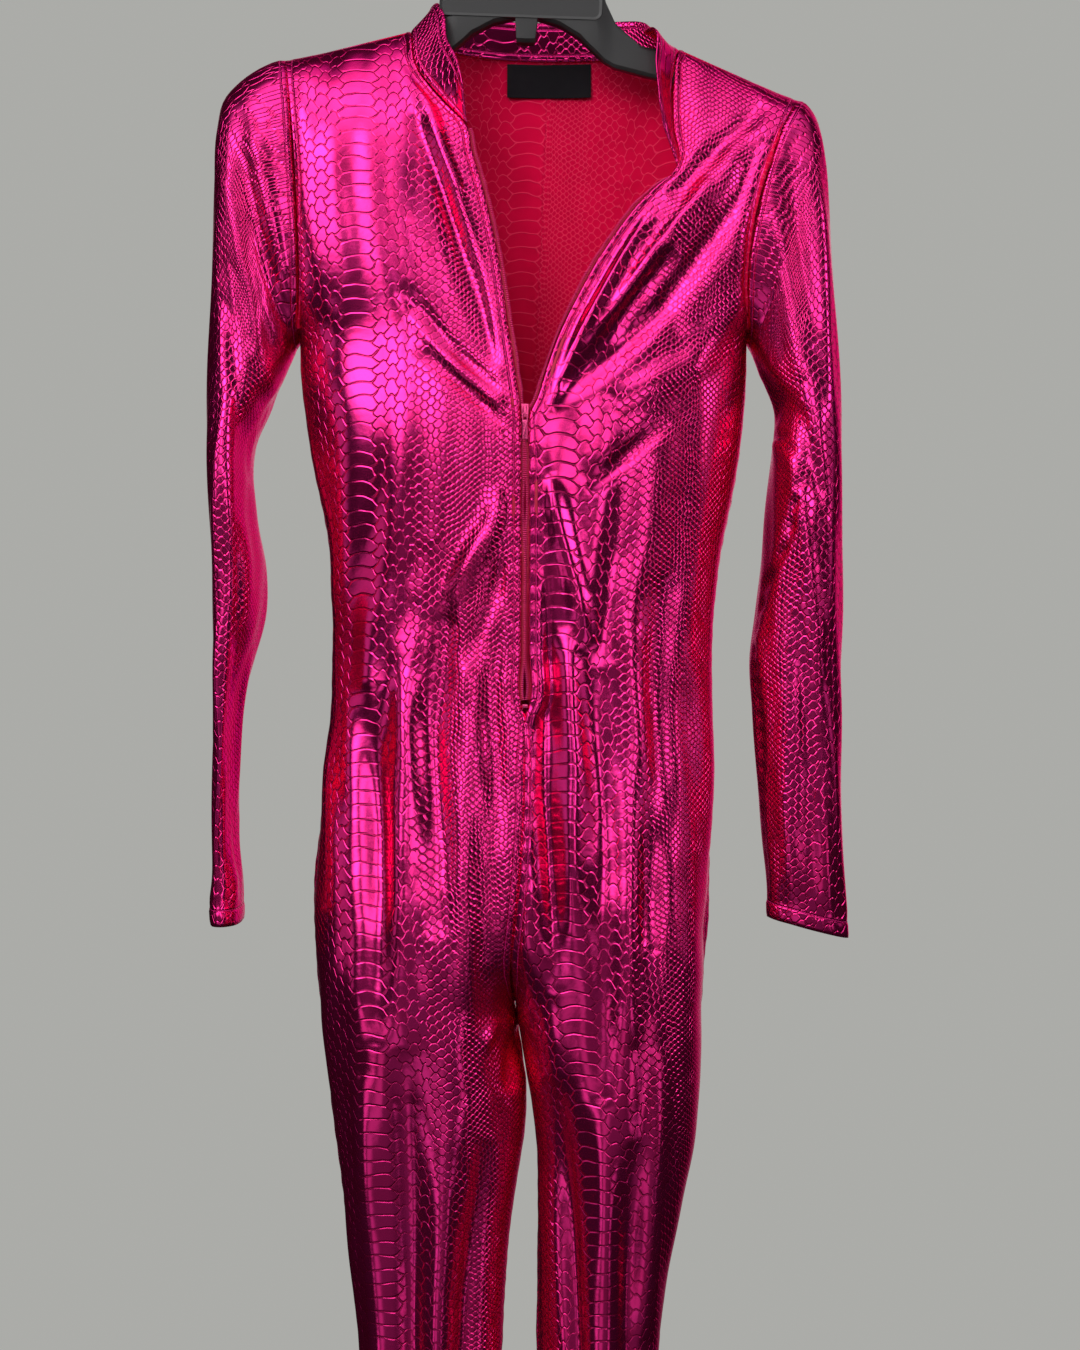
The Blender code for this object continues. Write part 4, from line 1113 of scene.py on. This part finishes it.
@dataclass(frozen=True)
class PlainFinish:
    """A finish with two close shades, fine grain and wear, for tape, coil, enamel, label and plastic.

    Attributes:
        name: Name of the material.
        colour: Main colour.
        shade: Second colour, in patches.
        metallic: Share of metal.
        roughness: Mean roughness.
        grain: Size of the grain, as a noise scale for each metre.
        relief: Depth of the grain.
        ribs: Distance between woven ribs, or 0.
    """

    name: str
    colour: Colour
    shade: Colour
    metallic: float = 0.0
    roughness: float = 0.5
    grain: float = 900.0
    relief: float = 0.00008
    ribs: float = 0.0

    def build(self) -> Material:
        """Make the material."""
        made, graph, shader = new_material(self.name)
        own = graph.read("TexCoord", socket="Object")
        height, cloudy = graph.noise(own, self.grain, 3.0), graph.noise(own, self.grain / 18.0, 3.0)
        if self.ribs:
            across, _, up = graph.split(own)
            rib = graph.math("SINE", (up + across * 0.45) * (2.0 * math.pi / self.ribs))
            height = height + rib * 0.6
        graph.fill(shader, {
            "Base Color": graph.mix(cloudy, self.colour, self.shade), "Metallic": self.metallic,
            "Roughness": (cloudy - 0.5) * 0.2 + self.roughness, "Normal": graph.bump(0.6, self.relief, height)})
        return made


PLAIN_FINISHES = (
    PlainFinish("zip tape", (0.42, 0.003, 0.035, 1.0), (0.52, 0.005, 0.055, 1.0), 0.0, 0.6, 1500.0, 0.0001, 0.0011),
    PlainFinish("zip coil", (0.88, 0.040, 0.24, 1.0), (0.70, 0.02, 0.17, 1.0), 0.6, 0.30, 1500.0),
    PlainFinish("pink enamel", (0.90, 0.09, 0.28, 1.0), (0.78, 0.05, 0.22, 1.0), 0.85, 0.24, 700.0),
    PlainFinish("woven black label", (0.003, 0.002, 0.004, 1.0), (0.007, 0.005, 0.009, 1.0), 0.0, 0.9, 2200.0,
                0.0002, 0.0007),
    PlainFinish("satin black plastic", (0.017, 0.016, 0.017, 1.0), (0.025, 0.024, 0.025, 1.0), 0.0, 0.42, 1200.0,
                0.00006),
)


@dataclass(frozen=True)
class FloorFinish:
    """Pale floor that runs into the backdrop's tone away from the garment."""

    colour: Colour = (0.62, 0.62, 0.60, 1.0)
    shade: Colour = (0.58, 0.58, 0.56, 1.0)
    near: float = 0.45
    far: float = 1.15

    def build(self, backdrop: Colour) -> Material:
        """Make the material; the backdrop's tone shows to the camera alone."""
        made, graph, shader = new_material("pale floor")
        own = graph.read("TexCoord", socket="Object")
        level = graph.vector("LENGTH", graph.vector("MULTIPLY", own, (1.0, 1.0, 0.0)))
        seen = graph.read("LightPath", socket="Is Camera Ray")
        glow = graph.step(level, self.near, self.far) * seen
        base = graph.mix(graph.noise(own, 14.0, 3.0), self.colour, self.shade)
        graph.fill(shader, {
            "Alpha": seen,  # the cloth mirrors the room below instead
            "Base Color": graph.mix(glow, base, BLACK), "Emission Color": graph.mix(glow, BLACK, backdrop),
            "Emission Strength": 1.0, "Roughness": 0.9, "Specular IOR Level": 0.0})
        return made


# ---- body panels, sleeves and collar ----


@dataclass
class Wardrobe:
    """The finishes that the pieces share."""

    foil: Material
    reverse: Material
    tape: Material
    coil: Material
    enamel: Material
    label: Material
    plastic: Material


def pattern_from_line(points: Grid, line: list[tuple[float, float]], sign: float) -> Grid:
    """Places in the cloth's pattern, whose broad scales follow a line of x at z.

    Args:
        points: Rows of points in millimetres.
        line: x, z points of the middle of the broad scales, from the top down.
        sign: -1 where x falls along a row, or 1 where it grows.

    Returns:
        Two values in metres for each point.
    """
    lengths = run_lengths(points, 1)
    xs, zs = np.array([p[0] for p in line], float), np.array([p[1] for p in line], float)
    wanted = np.interp(-points[:, points.shape[1] // 2, 2], -zs, xs)
    across = np.empty(lengths.shape)
    for number, (row, length) in enumerate(zip(points, lengths)):
        order = np.argsort(row[:, 0])
        xs_row, s_row = row[order, 0], length[order]
        target = np.interp(wanted[number], xs_row, s_row)
        if wanted[number] < xs_row[0]:
            target = s_row[0] + (wanted[number] - xs_row[0]) * sign
        elif wanted[number] > xs_row[-1]:
            target = s_row[-1] + (wanted[number] - xs_row[-1]) * sign
        across[number] = (length - target) * sign
    return np.stack((across, -points[..., 2]), axis=-1) * MM


@dataclass
class BodyPanels:
    """The two fronts and two backs, each one length from shoulder to hem."""

    columns: int = 80
    step: float = 3.0
    fold_edge: float = 9.0  # width over which folds fade towards a seam
    tape_hold: float = 6.5  # further width beside the zip, where the tape holds the cloth
    full_strain: float = 6.0  # height of folds at which the emboss is pulled flat
    roll: float = 0.9
    lip: float = 0.7
    pucker: float = 0.22
    back_phase: float = 37.0  # shift of the back's ripples
    calm_rows: int = 60
    fronts: dict[Side, ClothShell] = field(default_factory=dict)
    cut = {Face.FRONT: (0.262, 1.440), Face.BACK: (0.250, 1.440)}
    cut_area = {Face.FRONT: 0.262, Face.BACK: 0.245}
    broad_lines = {
        (Side.RIGHT, Face.FRONT): [(-124, -150), (-122, -400), (-120, -700), (-106, -1000), (-100, -1540)],
        (Side.LEFT, Face.FRONT): [(40, -150), (24, -420), (22, -560), (30, -800), (56, -1000), (58, -1540)],
        (Side.RIGHT, Face.BACK): [(1, -117), (-8, -400), (-16, -700), (-40, -900), (-70, -1540)],
        (Side.LEFT, Face.BACK): [(112, -117), (104, -500), (100, -800), (64, -1000), (56, -1540)],
    }

    def shares(self) -> Grid:
        """Places of the columns, closer together near both seams."""
        even = np.linspace(0.0, 1.0, self.columns + 1)
        return even - 0.5 * np.sin(2 * np.pi * even) / (2 * np.pi)

    def surface(self, side: Side, face: Face) -> Grid:
        """Smooth face of the panel, before its folds."""
        rows = panel_rows(side, face, 4 * self.columns)
        fine = np.linspace(0.0, 1.0, rows.shape[1])
        chosen = np.stack([np.stack([np.interp(self.shares(), fine, row[:, k]) for k in range(3)], axis=1)
                           for row in rows])
        return calm_rows(refine(chosen, self.step), self.calm_rows)

    def drape(self, side: Side, face: Face, points: Grid) -> tuple[Grid, Grid, Grid, Grid]:
        """Folds, seam rolls and puckers.

        Args:
            side: The wearer's side.
            face: Front or back.
            points: The smooth face.

        Returns:
            Height at each point, distance to the nearest long edge, distance along it, and how far the folds
            pull the emboss flat.
        """
        across, down = run_lengths(points, 1), run_lengths(points, 0)
        from_side, from_inner = across, across[:, -1:] - across
        flat = points[..., [0, 2]]
        folds = (FRONT_FOLDS if face is Face.FRONT else BACK_FOLDS)[side]
        lifts = [fold.height(flat) for fold in folds]
        height, strain = sum(lifts), np.clip(sum(np.abs(lift) for lift in lifts) / self.full_strain, 0, 1)
        z = points[..., 2]
        calm = 0.45 + 0.55 * ease((-z - 380.0) / 200.0)
        away = points[..., 0] + (0.0 if face is Face.FRONT else self.back_phase)
        height = height + calm * sum(ripple.height(away, z) for ripple in RIPPLES)
        over_tape = self.tape_hold * ease((z - ZIP_END_Z + 20.0) / 20.0) if face is Face.FRONT else 0.0
        hold = ease(from_side / self.fold_edge) * ease((from_inner - 1.0 - over_tape) / self.fold_edge)
        hold = hold * ease(down / 12.0)
        height = height * hold
        edge = np.minimum(from_side, from_inner)
        open_edge = (face is Face.FRONT) & (z > ZIP_END_Z) & (from_inner < from_side)
        seam_roll = -self.roll * np.exp(-((edge / 2.4) ** 2))
        lip = self.lip * np.exp(-(((edge - 1.8) / 1.8) ** 2))
        height = height + np.where(open_edge, lip, seam_roll)
        beat = np.sin(2 * np.pi * (z / 17.0 + 0.6 * np.sin(z / 41.0)))
        height = height + self.pucker * beat * np.exp(-(((edge - 4.0) / 5.0) ** 2)) * ease(down / 20.0)
        return height, edge, -z, strain

    def build(self, wardrobe: Wardrobe) -> None:
        """Make the four panels."""
        for side in Side:
            for face in Face:
                points = self.surface(side, face)
                pattern = pattern_from_line(points, self.broad_lines[side, face], -side.value)
                shell = ClothShell(f"{face.value}_{side.word}_cloth", points, pattern)
                height, edge, along, strain = self.drape(side, face, points)
                shell.lift(height)
                if face is Face.FRONT:
                    self.fronts[side] = shell
                masks = {"from_edge": edge, "along_edge": along, "strain": strain}
                piece = shell.build(wardrobe.foil, wardrobe.reverse, masks)
                dress(piece, "foil_cloth", f"{face.value}_{side.word}", flat=self.cut[face], held="hung",
                      rests_on=["hanger"], area=self.cut_area[face])


SLEEVE_FOLDS = {
    Side.RIGHT: [
        Fold(((-215, -196), (-193, -276), (-174, -352)), -3.5, 7, 0.2),
        Fold(((-221, -229), (-203, -313), (-189, -393)), 3.0, 6),
        Fold(((-224, -298), (-213, -364), (-205, -444)), -3.5, 6),
        Fold(((-204, -166), (-190, -240), (-176, -320)), 3.0, 6, 0.3),
        Fold(((-212, -451), (-209, -539), (-215, -655), (-218, -743)), -3.0, 5),
        Fold(((-228, -420), (-226, -520), (-228, -640)), 2.0, 4),
    ],
    Side.LEFT: [
        Fold(((159, -353), (199, -408), (218, -481)), -4.0, 8, 0.2),
        Fold(((177, -247), (191, -320), (199, -379)), 3.0, 7),
        Fold(((210, -204), (217, -300), (222, -408)), 2.5, 5),
        Fold(((190, -190), (196, -270), (212, -350)), -3.0, 7, -0.3),
        Fold(((176, -400), (196, -440), (206, -520), (214, -600)), 3.0, 6),
        Fold(((200, -540), (206, -640), (212, -760)), -3.0, 7),
        Fold(((186, -600), (192, -700), (196, -770)), 2.2, 6),
    ],
}
# The underarm seam of the left sleeve twists forward; the right one stays behind.
TWISTED_SEAM = Fold(((167, -378), (201, -444), (191, -494), (175, -529), (166, -567), (172, -621), (175, -721),
                     (178, -770)), -2.4, 3.0, 0.0, 1.0, 1.0)
SLEEVE_BACK_FOLDS = {
    Side.RIGHT: [
        Fold(((-214, -190), (-195, -280), (-178, -350)), -3.5, 8),
        Fold(((-220, -250), (-206, -330), (-198, -420)), 3.0, 7),
        Fold(((-216, -440), (-212, -560), (-222, -700)), -2.5, 5),
    ],
    Side.LEFT: [
        Fold(((210, -200), (192, -290), (176, -360)), -3.5, 8),
        Fold(((218, -260), (206, -340), (196, -430)), 3.0, 7),
        Fold(((208, -450), (200, -560), (206, -700)), -3.0, 7),
    ],
}


@dataclass
class Sleeves:
    """The two sleeves, from the armhole to the hemmed cuff."""

    columns: int = 96
    step: float = 3.2
    cut: tuple[float, float] = (0.300, 0.660)
    cut_area: float = 0.120
    waves: tuple[tuple[float, int, float, float], ...] = (  # height, number round, length down, phase
        (0.8, 3, 60.0, 0.0), (0.6, 5, -34.0, 1.3), (0.35, 9, 21.0, 0.4))
    hem: float = 0.8
    roll: float = 0.9
    pucker: float = 0.4

    def drape(self, side: Side, points: Grid) -> Grid:
        """Folds of the front and back of the sleeve."""
        flat, depth = points[..., [0, 2]], points[..., 1]
        front, back = ease(-depth / 12.0), ease(depth / 12.0)
        height = sum(fold.height(flat) for fold in SLEEVE_FOLDS[side]) * front
        height = height + sum(fold.height(flat) for fold in SLEEVE_BACK_FOLDS[side]) * back
        down = run_lengths(points, 0)
        turn = np.linspace(0.0, 2.0 * np.pi, points.shape[1])[None, :]
        z = points[..., 2]
        height = height + sum(rise * np.sin(number * turn + z / length + phase)
                              for rise, number, length, phase in self.waves)
        if side is Side.LEFT:
            seam = TWISTED_SEAM.height(flat) * front
            beat = 1.0 + 0.5 * np.sin(2 * np.pi * (z / 15.0 + 0.5 * np.sin(z / 33.0)))
            height = height + seam * beat
        hold = ease(down / 10.0) * (0.35 + 0.65 * ease((down[-1:] - down - 8.0) / 14.0))
        hem = self.hem * (ease((HEM_DEPTH + 0.8 - (down[-1:] - down)) / 1.6))
        roll = -self.roll * np.exp(-((down / 2.6) ** 2))
        pucker = self.pucker * np.sin(34 * turn + 2.0 * np.sin(5 * turn)) * np.exp(-(((down - 5.0) / 6.0) ** 2))
        return height * hold + hem + roll + pucker

    def build(self, wardrobe: Wardrobe) -> None:
        """Make both sleeves."""
        for side in Side:
            points = refine(sleeve_rings(side, self.columns), self.step)
            lengths = run_lengths(points, 1)
            centred = lengths - lengths[:, -1:] * 0.5
            pattern = np.stack((centred, -points[..., 2]), axis=-1) * MM
            shell = ClothShell(f"sleeve_{side.word}_cloth", points, pattern, closed=True, gap=SLEEVE_SEAM_GAP)
            shell.lift(self.drape(side, points))
            down = run_lengths(points, 0)
            edge = np.minimum(down, (down[-1:] - down) - HEM_DEPTH + 5.0)
            piece = shell.build(wardrobe.foil, wardrobe.reverse, {"from_edge": edge, "along_edge": lengths})
            dress(piece, "foil_cloth", f"sleeve_{side.word}", flat=self.cut, held="hung", rests_on=["hanger"],
                  area=self.cut_area)


@dataclass
class Collar:
    """The stand collar, folded double along its free edge."""

    columns: int = 200
    rows: int = 16
    cut: tuple[float, float] = (0.465, 0.031)
    sway: float = 0.5
    roll: float = 0.6
    gap: float = -0.5

    def build(self, wardrobe: Wardrobe) -> None:
        """Make the band from its seam and the way it stands."""
        seams = [neck_seam(side) for side in Side]
        stands = [unit(np.array(COLLAR_STAND[side], float)) for side in Side]
        seam, stand = (np.concatenate((right, left[-2::-1])) for right, left in (seams, stands))
        places = np.concatenate(([0.0], np.cumsum(np.linalg.norm(np.diff(seam, axis=0), axis=1))))
        wanted = np.linspace(0.0, places[-1], self.columns + 1)
        seam, stand = spline(seam, places, wanted), unit(spline(stand, places, wanted))
        rise = np.linspace(1.0, 0.0, self.rows + 1)[:, None, None] * COLLAR_HEIGHT
        points = seam[None] + stand[None] * rise
        along, rise = (np.broadcast_to(part, points.shape[:2]) for part in (wanted[None, :], rise[..., 0]))
        pattern = np.stack((along, rise), axis=-1) * MM
        shell = ClothShell("collar_cloth", points, pattern, wall=COLLAR_CLOTH, gap=self.gap)
        soft = self.sway * np.sin(along / 17.0) * ease(rise / 20.0)
        seam_roll = -self.roll * np.exp(-((rise / 2.2) ** 2))
        shell.lift(soft + seam_roll)
        edge = np.minimum(rise, COLLAR_HEIGHT - rise)
        piece = shell.build(wardrobe.foil, wardrobe.foil, {"from_edge": edge, "along_edge": along})
        dress(piece, "foil_cloth", "collar", flat=self.cut, held="folded", rests_on=["hanger"])


# ---- hard pieces ----


def select_only(made: Obj) -> None:
    """Select one object and make it active."""
    for other in bpy.data.objects:
        other.select_set(False)
    made.select_set(True)
    bpy.context.view_layer.objects.active = made


def edit_mesh(*steps: tuple[Callable, dict]) -> None:
    """Run edit-mode operators, each on all of the active object's mesh."""
    bpy.ops.object.mode_set(mode="EDIT")
    for operator, settings in steps:
        bpy.ops.mesh.select_all(action="SELECT")
        operator(**settings)
    bpy.ops.object.mode_set(mode="OBJECT")


def softened_copy(node: Obj, name: str, radius: float, material: Material
                  ) -> Obj:
    """Copy a frame node, clean its mesh and round its edges.

    Args:
        node: The frame's object.
        name: Name of the copy.
        radius: Radius of the rounded edges, in millimetres.
        material: Its finish.

    Returns:
        The finished copy.
    """
    made = link(bpy.data.objects.new(name, node.data.copy()))
    select_only(made)
    edit_mesh((bpy.ops.mesh.remove_doubles, {"threshold": 0.00001}),
              (bpy.ops.mesh.dissolve_limited, {"angle_limit": math.radians(1.0)}))
    bevel = made.modifiers.new("round edges", "BEVEL")
    bevel.width = radius * MM
    bevel.segments = 3
    bevel.limit_method = "ANGLE"
    bevel.angle_limit = math.radians(28.0)
    bevel.use_clamp_overlap = True
    bpy.ops.object.modifier_apply(modifier=bevel.name)
    bpy.ops.object.shade_smooth_by_angle(angle=math.radians(40.0))
    made.data.materials.clear()
    made.data.materials.append(material)
    return made


@dataclass
class FrontZip:
    """Two tapes with their coils, the slider, its pull and the bottom stop."""

    tape_gap: float = 0.6
    tape_wall: float = 0.9
    tape_under: float = 6.0
    tape_over: float = 1.8
    tape_cut: tuple[float, float] = (0.010, 0.425)
    tape_area: float = 0.0035
    pitch: float = 1.5
    tooth: Point = (1.35, 0.85, 0.55)  # half sizes: across, out, along

    def edge_frames(self, shell: ClothShell) -> tuple[Grid, Grid, Grid]:
        """The open edge of a front: points, outward normals, and the way across towards the other half."""
        rows = np.where((shell.points[:, -1, 2] <= FRONT_EDGES[Side.RIGHT][NECK_CORNER_ROW][2] + 60.0)
                        & (shell.points[:, -1, 2] >= ZIP_END_Z))[0]
        edge = shell.points[rows, -1]
        inside = shell.points[rows, -8]
        normal = unit(shell.normals[rows, -6])
        across = unit(edge - inside)
        across = unit(across - normal * (across * normal).sum(axis=1, keepdims=True))
        return edge, normal, across

    def build_half(self, side: Side, shell: ClothShell, start_z: float, wardrobe: Wardrobe) -> None:
        """One tape with its row of teeth."""
        edge, normal, across = self.edge_frames(shell)
        keep = edge[:, 2] <= start_z - 1.0
        edge, normal, across = edge[keep], normal[keep], across[keep]
        deep = CLOTH + self.tape_gap
        corners = ((-self.tape_under, deep), (self.tape_over, deep), (self.tape_over, deep + self.tape_wall),
                   (-self.tape_under, deep + self.tape_wall))
        points = np.stack([edge + across * over - normal * under for over, under in corners], axis=1)
        count = len(points)
        faces = [(j * 4 + i, j * 4 + 4 + i, j * 4 + 4 + (i + 1) % 4, j * 4 + (i + 1) % 4)
                 for j in range(count - 1) for i in range(4)]
        faces += [(3, 2, 1, 0), tuple((count - 1) * 4 + i for i in range(4))]
        tape = new_mesh(f"zip_tape_{side.word}_cloth", points.reshape(-1, 3), faces, (wardrobe.tape,))
        turn_outwards(tape)
        for polygon in tape.data.polygons:
            polygon.use_smooth = False
        dress(tape, "zip_tape", f"zip_tape_{side.word}", flat=self.tape_cut, held="hung", rests_on=["hanger"],
              area=self.tape_area)
        self.build_coil(side, edge, normal, across, wardrobe)

    def build_coil(self, side: Side, edge: Grid, normal: Grid, across: Grid, wardrobe: Wardrobe) -> None:
        """The row of teeth: one rounded tooth, copied along the tape."""
        bpy.ops.object.select_all(action="DESELECT")
        bpy.ops.mesh.primitive_uv_sphere_add(segments=8, ring_count=5, radius=1.0)
        tooth = bpy.context.active_object
        edit_mesh((bpy.ops.transform.resize, {"value": self.tooth}))
        shape = np.array([v.co for v in tooth.data.vertices])
        polygons = [tuple(p.vertices) for p in tooth.data.polygons]
        bpy.data.objects.remove(tooth)
        lengths = np.concatenate(([0.0], np.cumsum(np.linalg.norm(np.diff(edge, axis=0), axis=1))))
        first = 0.5 if side is Side.RIGHT else 0.5 + self.pitch / 2.0
        places = np.arange(first, lengths[-1], self.pitch)
        spots, outs = spline(edge, lengths, places), unit(spline(normal, lengths, places))
        ways = unit(spline(across, lengths, places))
        alongs = np.cross(outs, ways)
        centre = spots + ways * (self.tape_over + 0.2) - outs * (CLOTH + 0.4)
        vertices = (centre[:, None] + ways[:, None] * shape[None, :, :1] + outs[:, None] * shape[None, :, 1:2]
                    + alongs[:, None] * shape[None, :, 2:])
        count = len(shape)
        faces = [tuple(i + n * count for i in polygon) for n in range(len(places)) for polygon in polygons]
        coil = new_mesh(f"zip_teeth_{side.word}", vertices.reshape(-1, 3), faces, (wardrobe.coil,))
        turn_outwards(coil)
        dress(coil, "zip_tape")
        log.info("%s: %d teeth", coil.name, len(places))

    def build(self, fronts: dict[Side, ClothShell], nodes: dict[str, Obj],
              wardrobe: Wardrobe) -> None:
        """Make the whole zip."""
        for side in Side:
            self.build_half(side, fronts[side], FRONT_EDGES[side][NECK_CORNER_ROW][2], wardrobe)
        for node, body, radius in (("zip_slider", "garment", 0.25), ("zip_pull", "pull", 0.22),
                                   ("zip_stop", "garment", 0.3)):
            piece = softened_copy(nodes[node], f"{node}_metal", radius, wardrobe.enamel)
            dress(piece, "zip_metal", node, body)


@dataclass
class HangerAndLabel:
    """The moulded hanger and the bare neck label."""

    hanger_round: float = 0.9
    label_round: float = 0.3
    plate_size: tuple[float, float] = (0.122, 0.031)
    plate_corner: float = 0.006
    plate_rim: float = 0.0022
    plate_sunk: float = 0.0006
    plate_wall: float = 0.0022
    plate_middle: Point = (-0.0048, -0.0068, -0.0848)
    tilt: float = 2.0
    label_cut: tuple[float, float] = (0.068, 0.028)

    def neck_plate(self, plastic: Material) -> Obj:
        """The plate in front of the hanger's neck, with its raised rim."""
        bpy.ops.mesh.primitive_plane_add(size=1.0, rotation=(math.radians(90.0), 0.0, 0.0))
        plate = bpy.context.active_object
        bpy.ops.object.transform_apply(location=False, rotation=True, scale=False)
        width, height = self.plate_size
        back = {"value": (0.0, self.plate_wall, 0.0)}
        edit_mesh((bpy.ops.transform.resize, {"value": (width, 1.0, height)}),
                  (bpy.ops.mesh.bevel, {"affect": "VERTICES", "offset": self.plate_corner, "segments": 6}),
                  (bpy.ops.mesh.inset, {"thickness": self.plate_rim, "depth": -self.plate_sunk}),
                  (bpy.ops.mesh.extrude_region_move, {"TRANSFORM_OT_translate": back}),
                  (bpy.ops.mesh.normals_make_consistent, {"inside": False}))
        plate.location = self.plate_middle
        plate.rotation_euler = (0.0, math.radians(self.tilt), 0.0)
        bpy.ops.object.transform_apply(location=True, rotation=True, scale=False)
        plate.data.materials.append(plastic)
        return plate

    def build(self, nodes: dict[str, Obj], wardrobe: Wardrobe) -> None:
        """Make both pieces."""
        plate = self.neck_plate(wardrobe.plastic)
        hanger = softened_copy(nodes["hanger"], "hanger_moulding", self.hanger_round, wardrobe.plastic)
        plate.select_set(True)
        bpy.ops.object.join()
        dress(hanger, "hanger_plastic", "hanger")
        label = softened_copy(nodes["label"], "label_ribbon", self.label_round, wardrobe.label)
        dress(label, "label", "label", flat=self.label_cut, held="hung", rests_on=["back_right", "back_left"])


# ---- studio ----


@dataclass(frozen=True)
class Glow:
    """A soft-edged bright part of the room, as the garment sees it.

    Attributes:
        towards: Direction from the garment.
        strength: Brightness at its middle.
        core: Angle from its middle within which it is even, in degrees.
        reach: Angle at which it has faded out.
    """

    towards: Point
    strength: float
    core: float
    reach: float


GLOWS = (
    Glow((-0.54, -0.74, 0.40), 3.3, 8.0, 25.0),
    Glow((-0.25, -0.55, 0.80), 1.5, 8.0, 34.0),
    Glow((0.15, -0.30, 0.94), 1.0, 8.0, 38.0),
    Glow((0.02, -0.96, 0.24), 2.4, 3.0, 13.0),
    Glow((0.36, -0.93, 0.08), 2.2, 3.0, 11.0),
    Glow((0.90, -0.36, 0.25), 3.4, 3.0, 14.0),
    Glow((-0.66, -0.68, -0.33), 0.9, 2.0, 10.0),
    Glow((0.62, -0.72, -0.32), 0.8, 2.0, 10.0),
    Glow((-0.30, -0.86, -0.42), 0.4, 3.0, 14.0),
    Glow((-0.05, -0.90, -0.42), 0.11, 5.0, 40.0),
    Glow((-0.97, -0.22, 0.05), 0.5, 3.0, 15.0),
    Glow((0.98, -0.15, 0.10), 0.4, 3.0, 15.0),
    Glow((0.30, 0.90, 0.25), 0.8, 10.0, 45.0),
)


@dataclass(frozen=True)
class Lamp:
    """A soft rectangular light that faces a point: sizes in metres and power in watts."""

    name: str
    place: Point
    target: Point
    size: tuple[float, float]
    power: float
    colour: Point

    def build(self) -> None:
        """Add the light."""
        data = bpy.data.lights.new(self.name, "AREA")
        data.shape = "RECTANGLE"
        data.size, data.size_y = self.size
        data.energy, data.color = self.power, self.colour
        lamp = link(bpy.data.objects.new(self.name, data))
        lamp.location = self.place
        lamp.visible_glossy = False  # the foil mirrors the soft room instead
        lamp.rotation_euler = (Vector(self.target) - Vector(self.place)).to_track_quat("-Z", "Y").to_euler()


LAMPS = (
    Lamp("window left", (-0.75, -2.1, 0.55), (0.0, 0.0, -0.4), (1.1, 1.0), 14.0, (1.0, 0.98, 0.97)),
    Lamp("window right", (1.25, -1.55, 0.35), (0.0, 0.0, -0.6), (0.35, 1.4), 6.0, (0.97, 0.98, 1.0)),
    Lamp("back", (0.4, 1.9, 0.6), (0.0, 0.0, -0.6), (1.2, 1.2), 14.0, (1.0, 1.0, 1.0)),
)


@dataclass
class Studio:
    """Floor, lights, backdrop colour and camera."""

    camera_place: Point = (0.0094, -1.36, -0.5935)
    lens: float = 48.13
    floor_drop: float = 0.03
    floor_radius: float = 60.0
    pale: Colour = (0.410, 0.412, 0.393, 1.0)
    surround: float = 0.014

    def build_room(self) -> None:
        """World: a plain backdrop to the camera, and a dim room with soft bright parts to the garment."""
        world = bpy.data.worlds.new("studio")
        bpy.context.scene.world = world
        world.use_nodes = True
        graph = Graph(world.node_tree)
        direction = graph.read("TexCoord", socket="Generated")
        total: object = self.surround
        for glow in GLOWS:
            towards = tuple(Vector(glow.towards).normalized())
            facing = graph.vector("DOT_PRODUCT", direction, towards)
            spot = graph.step(facing, math.cos(math.radians(glow.reach)), math.cos(math.radians(glow.core)))
            total = spot * glow.strength + total
        seen = graph.read("LightPath", socket="Is Camera Ray")
        graph.fill(world.node_tree.nodes["Background"], {"Color": graph.mix(seen, total, self.pale)})

    def build(self, lowest: float, floor_finish: Material) -> None:
        """Set the stage round the garment."""
        bpy.ops.object.select_all(action="DESELECT")
        bpy.ops.mesh.primitive_plane_add(size=2.0 * self.floor_radius, location=(0.0, 0.0, 0.0))
        floor = bpy.context.active_object
        floor.name = "floor"
        floor.data.transform(floor.matrix_world)
        for vertex in floor.data.vertices:
            vertex.co.z = lowest - self.floor_drop  # moved in the mesh, so that its own axes stay the frame's
        floor.data.materials.append(floor_finish)
        floor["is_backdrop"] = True

        for lamp in LAMPS:
            lamp.build()
        self.build_room()

        bpy.context.scene.view_settings.view_transform = "Standard"

        data = bpy.data.cameras.new("camera")
        data.lens = self.lens
        data.sensor_fit = "VERTICAL"
        data.sensor_height = 36.0
        camera = link(bpy.data.objects.new("camera", data))
        camera.location = self.camera_place
        camera.rotation_euler = (math.radians(90.0), 0.0, 0.0)
        bpy.context.scene.camera = camera


def box_lists(box: tuple[Vector, Vector]) -> list[list[float]]:
    """A box's two corners as plain lists."""
    return [[float(value) for value in corner] for corner in box]


def main() -> None:
    """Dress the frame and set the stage."""
    logging.basicConfig(level=logging.INFO, format="%(message)s")
    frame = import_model()
    cad_box = box_lists(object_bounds())
    scales, stitches = ScaleEmboss().build(), build_stitch_group()
    wardrobe = Wardrobe(FoilCloth().build(scales, stitches), ReverseCloth().build(scales),
                        *(finish.build() for finish in PLAIN_FINISHES))
    panels = BodyPanels()
    panels.build(wardrobe)
    Sleeves().build(wardrobe)
    Collar().build(wardrobe)
    FrontZip().build(panels.fronts, frame["nodes"], wardrobe)
    HangerAndLabel().build(frame["nodes"], wardrobe)
    studio = Studio()
    studio.build(cad_box[0][2], FloorFinish().build(studio.pale))


if __name__ == "__main__":
    main()
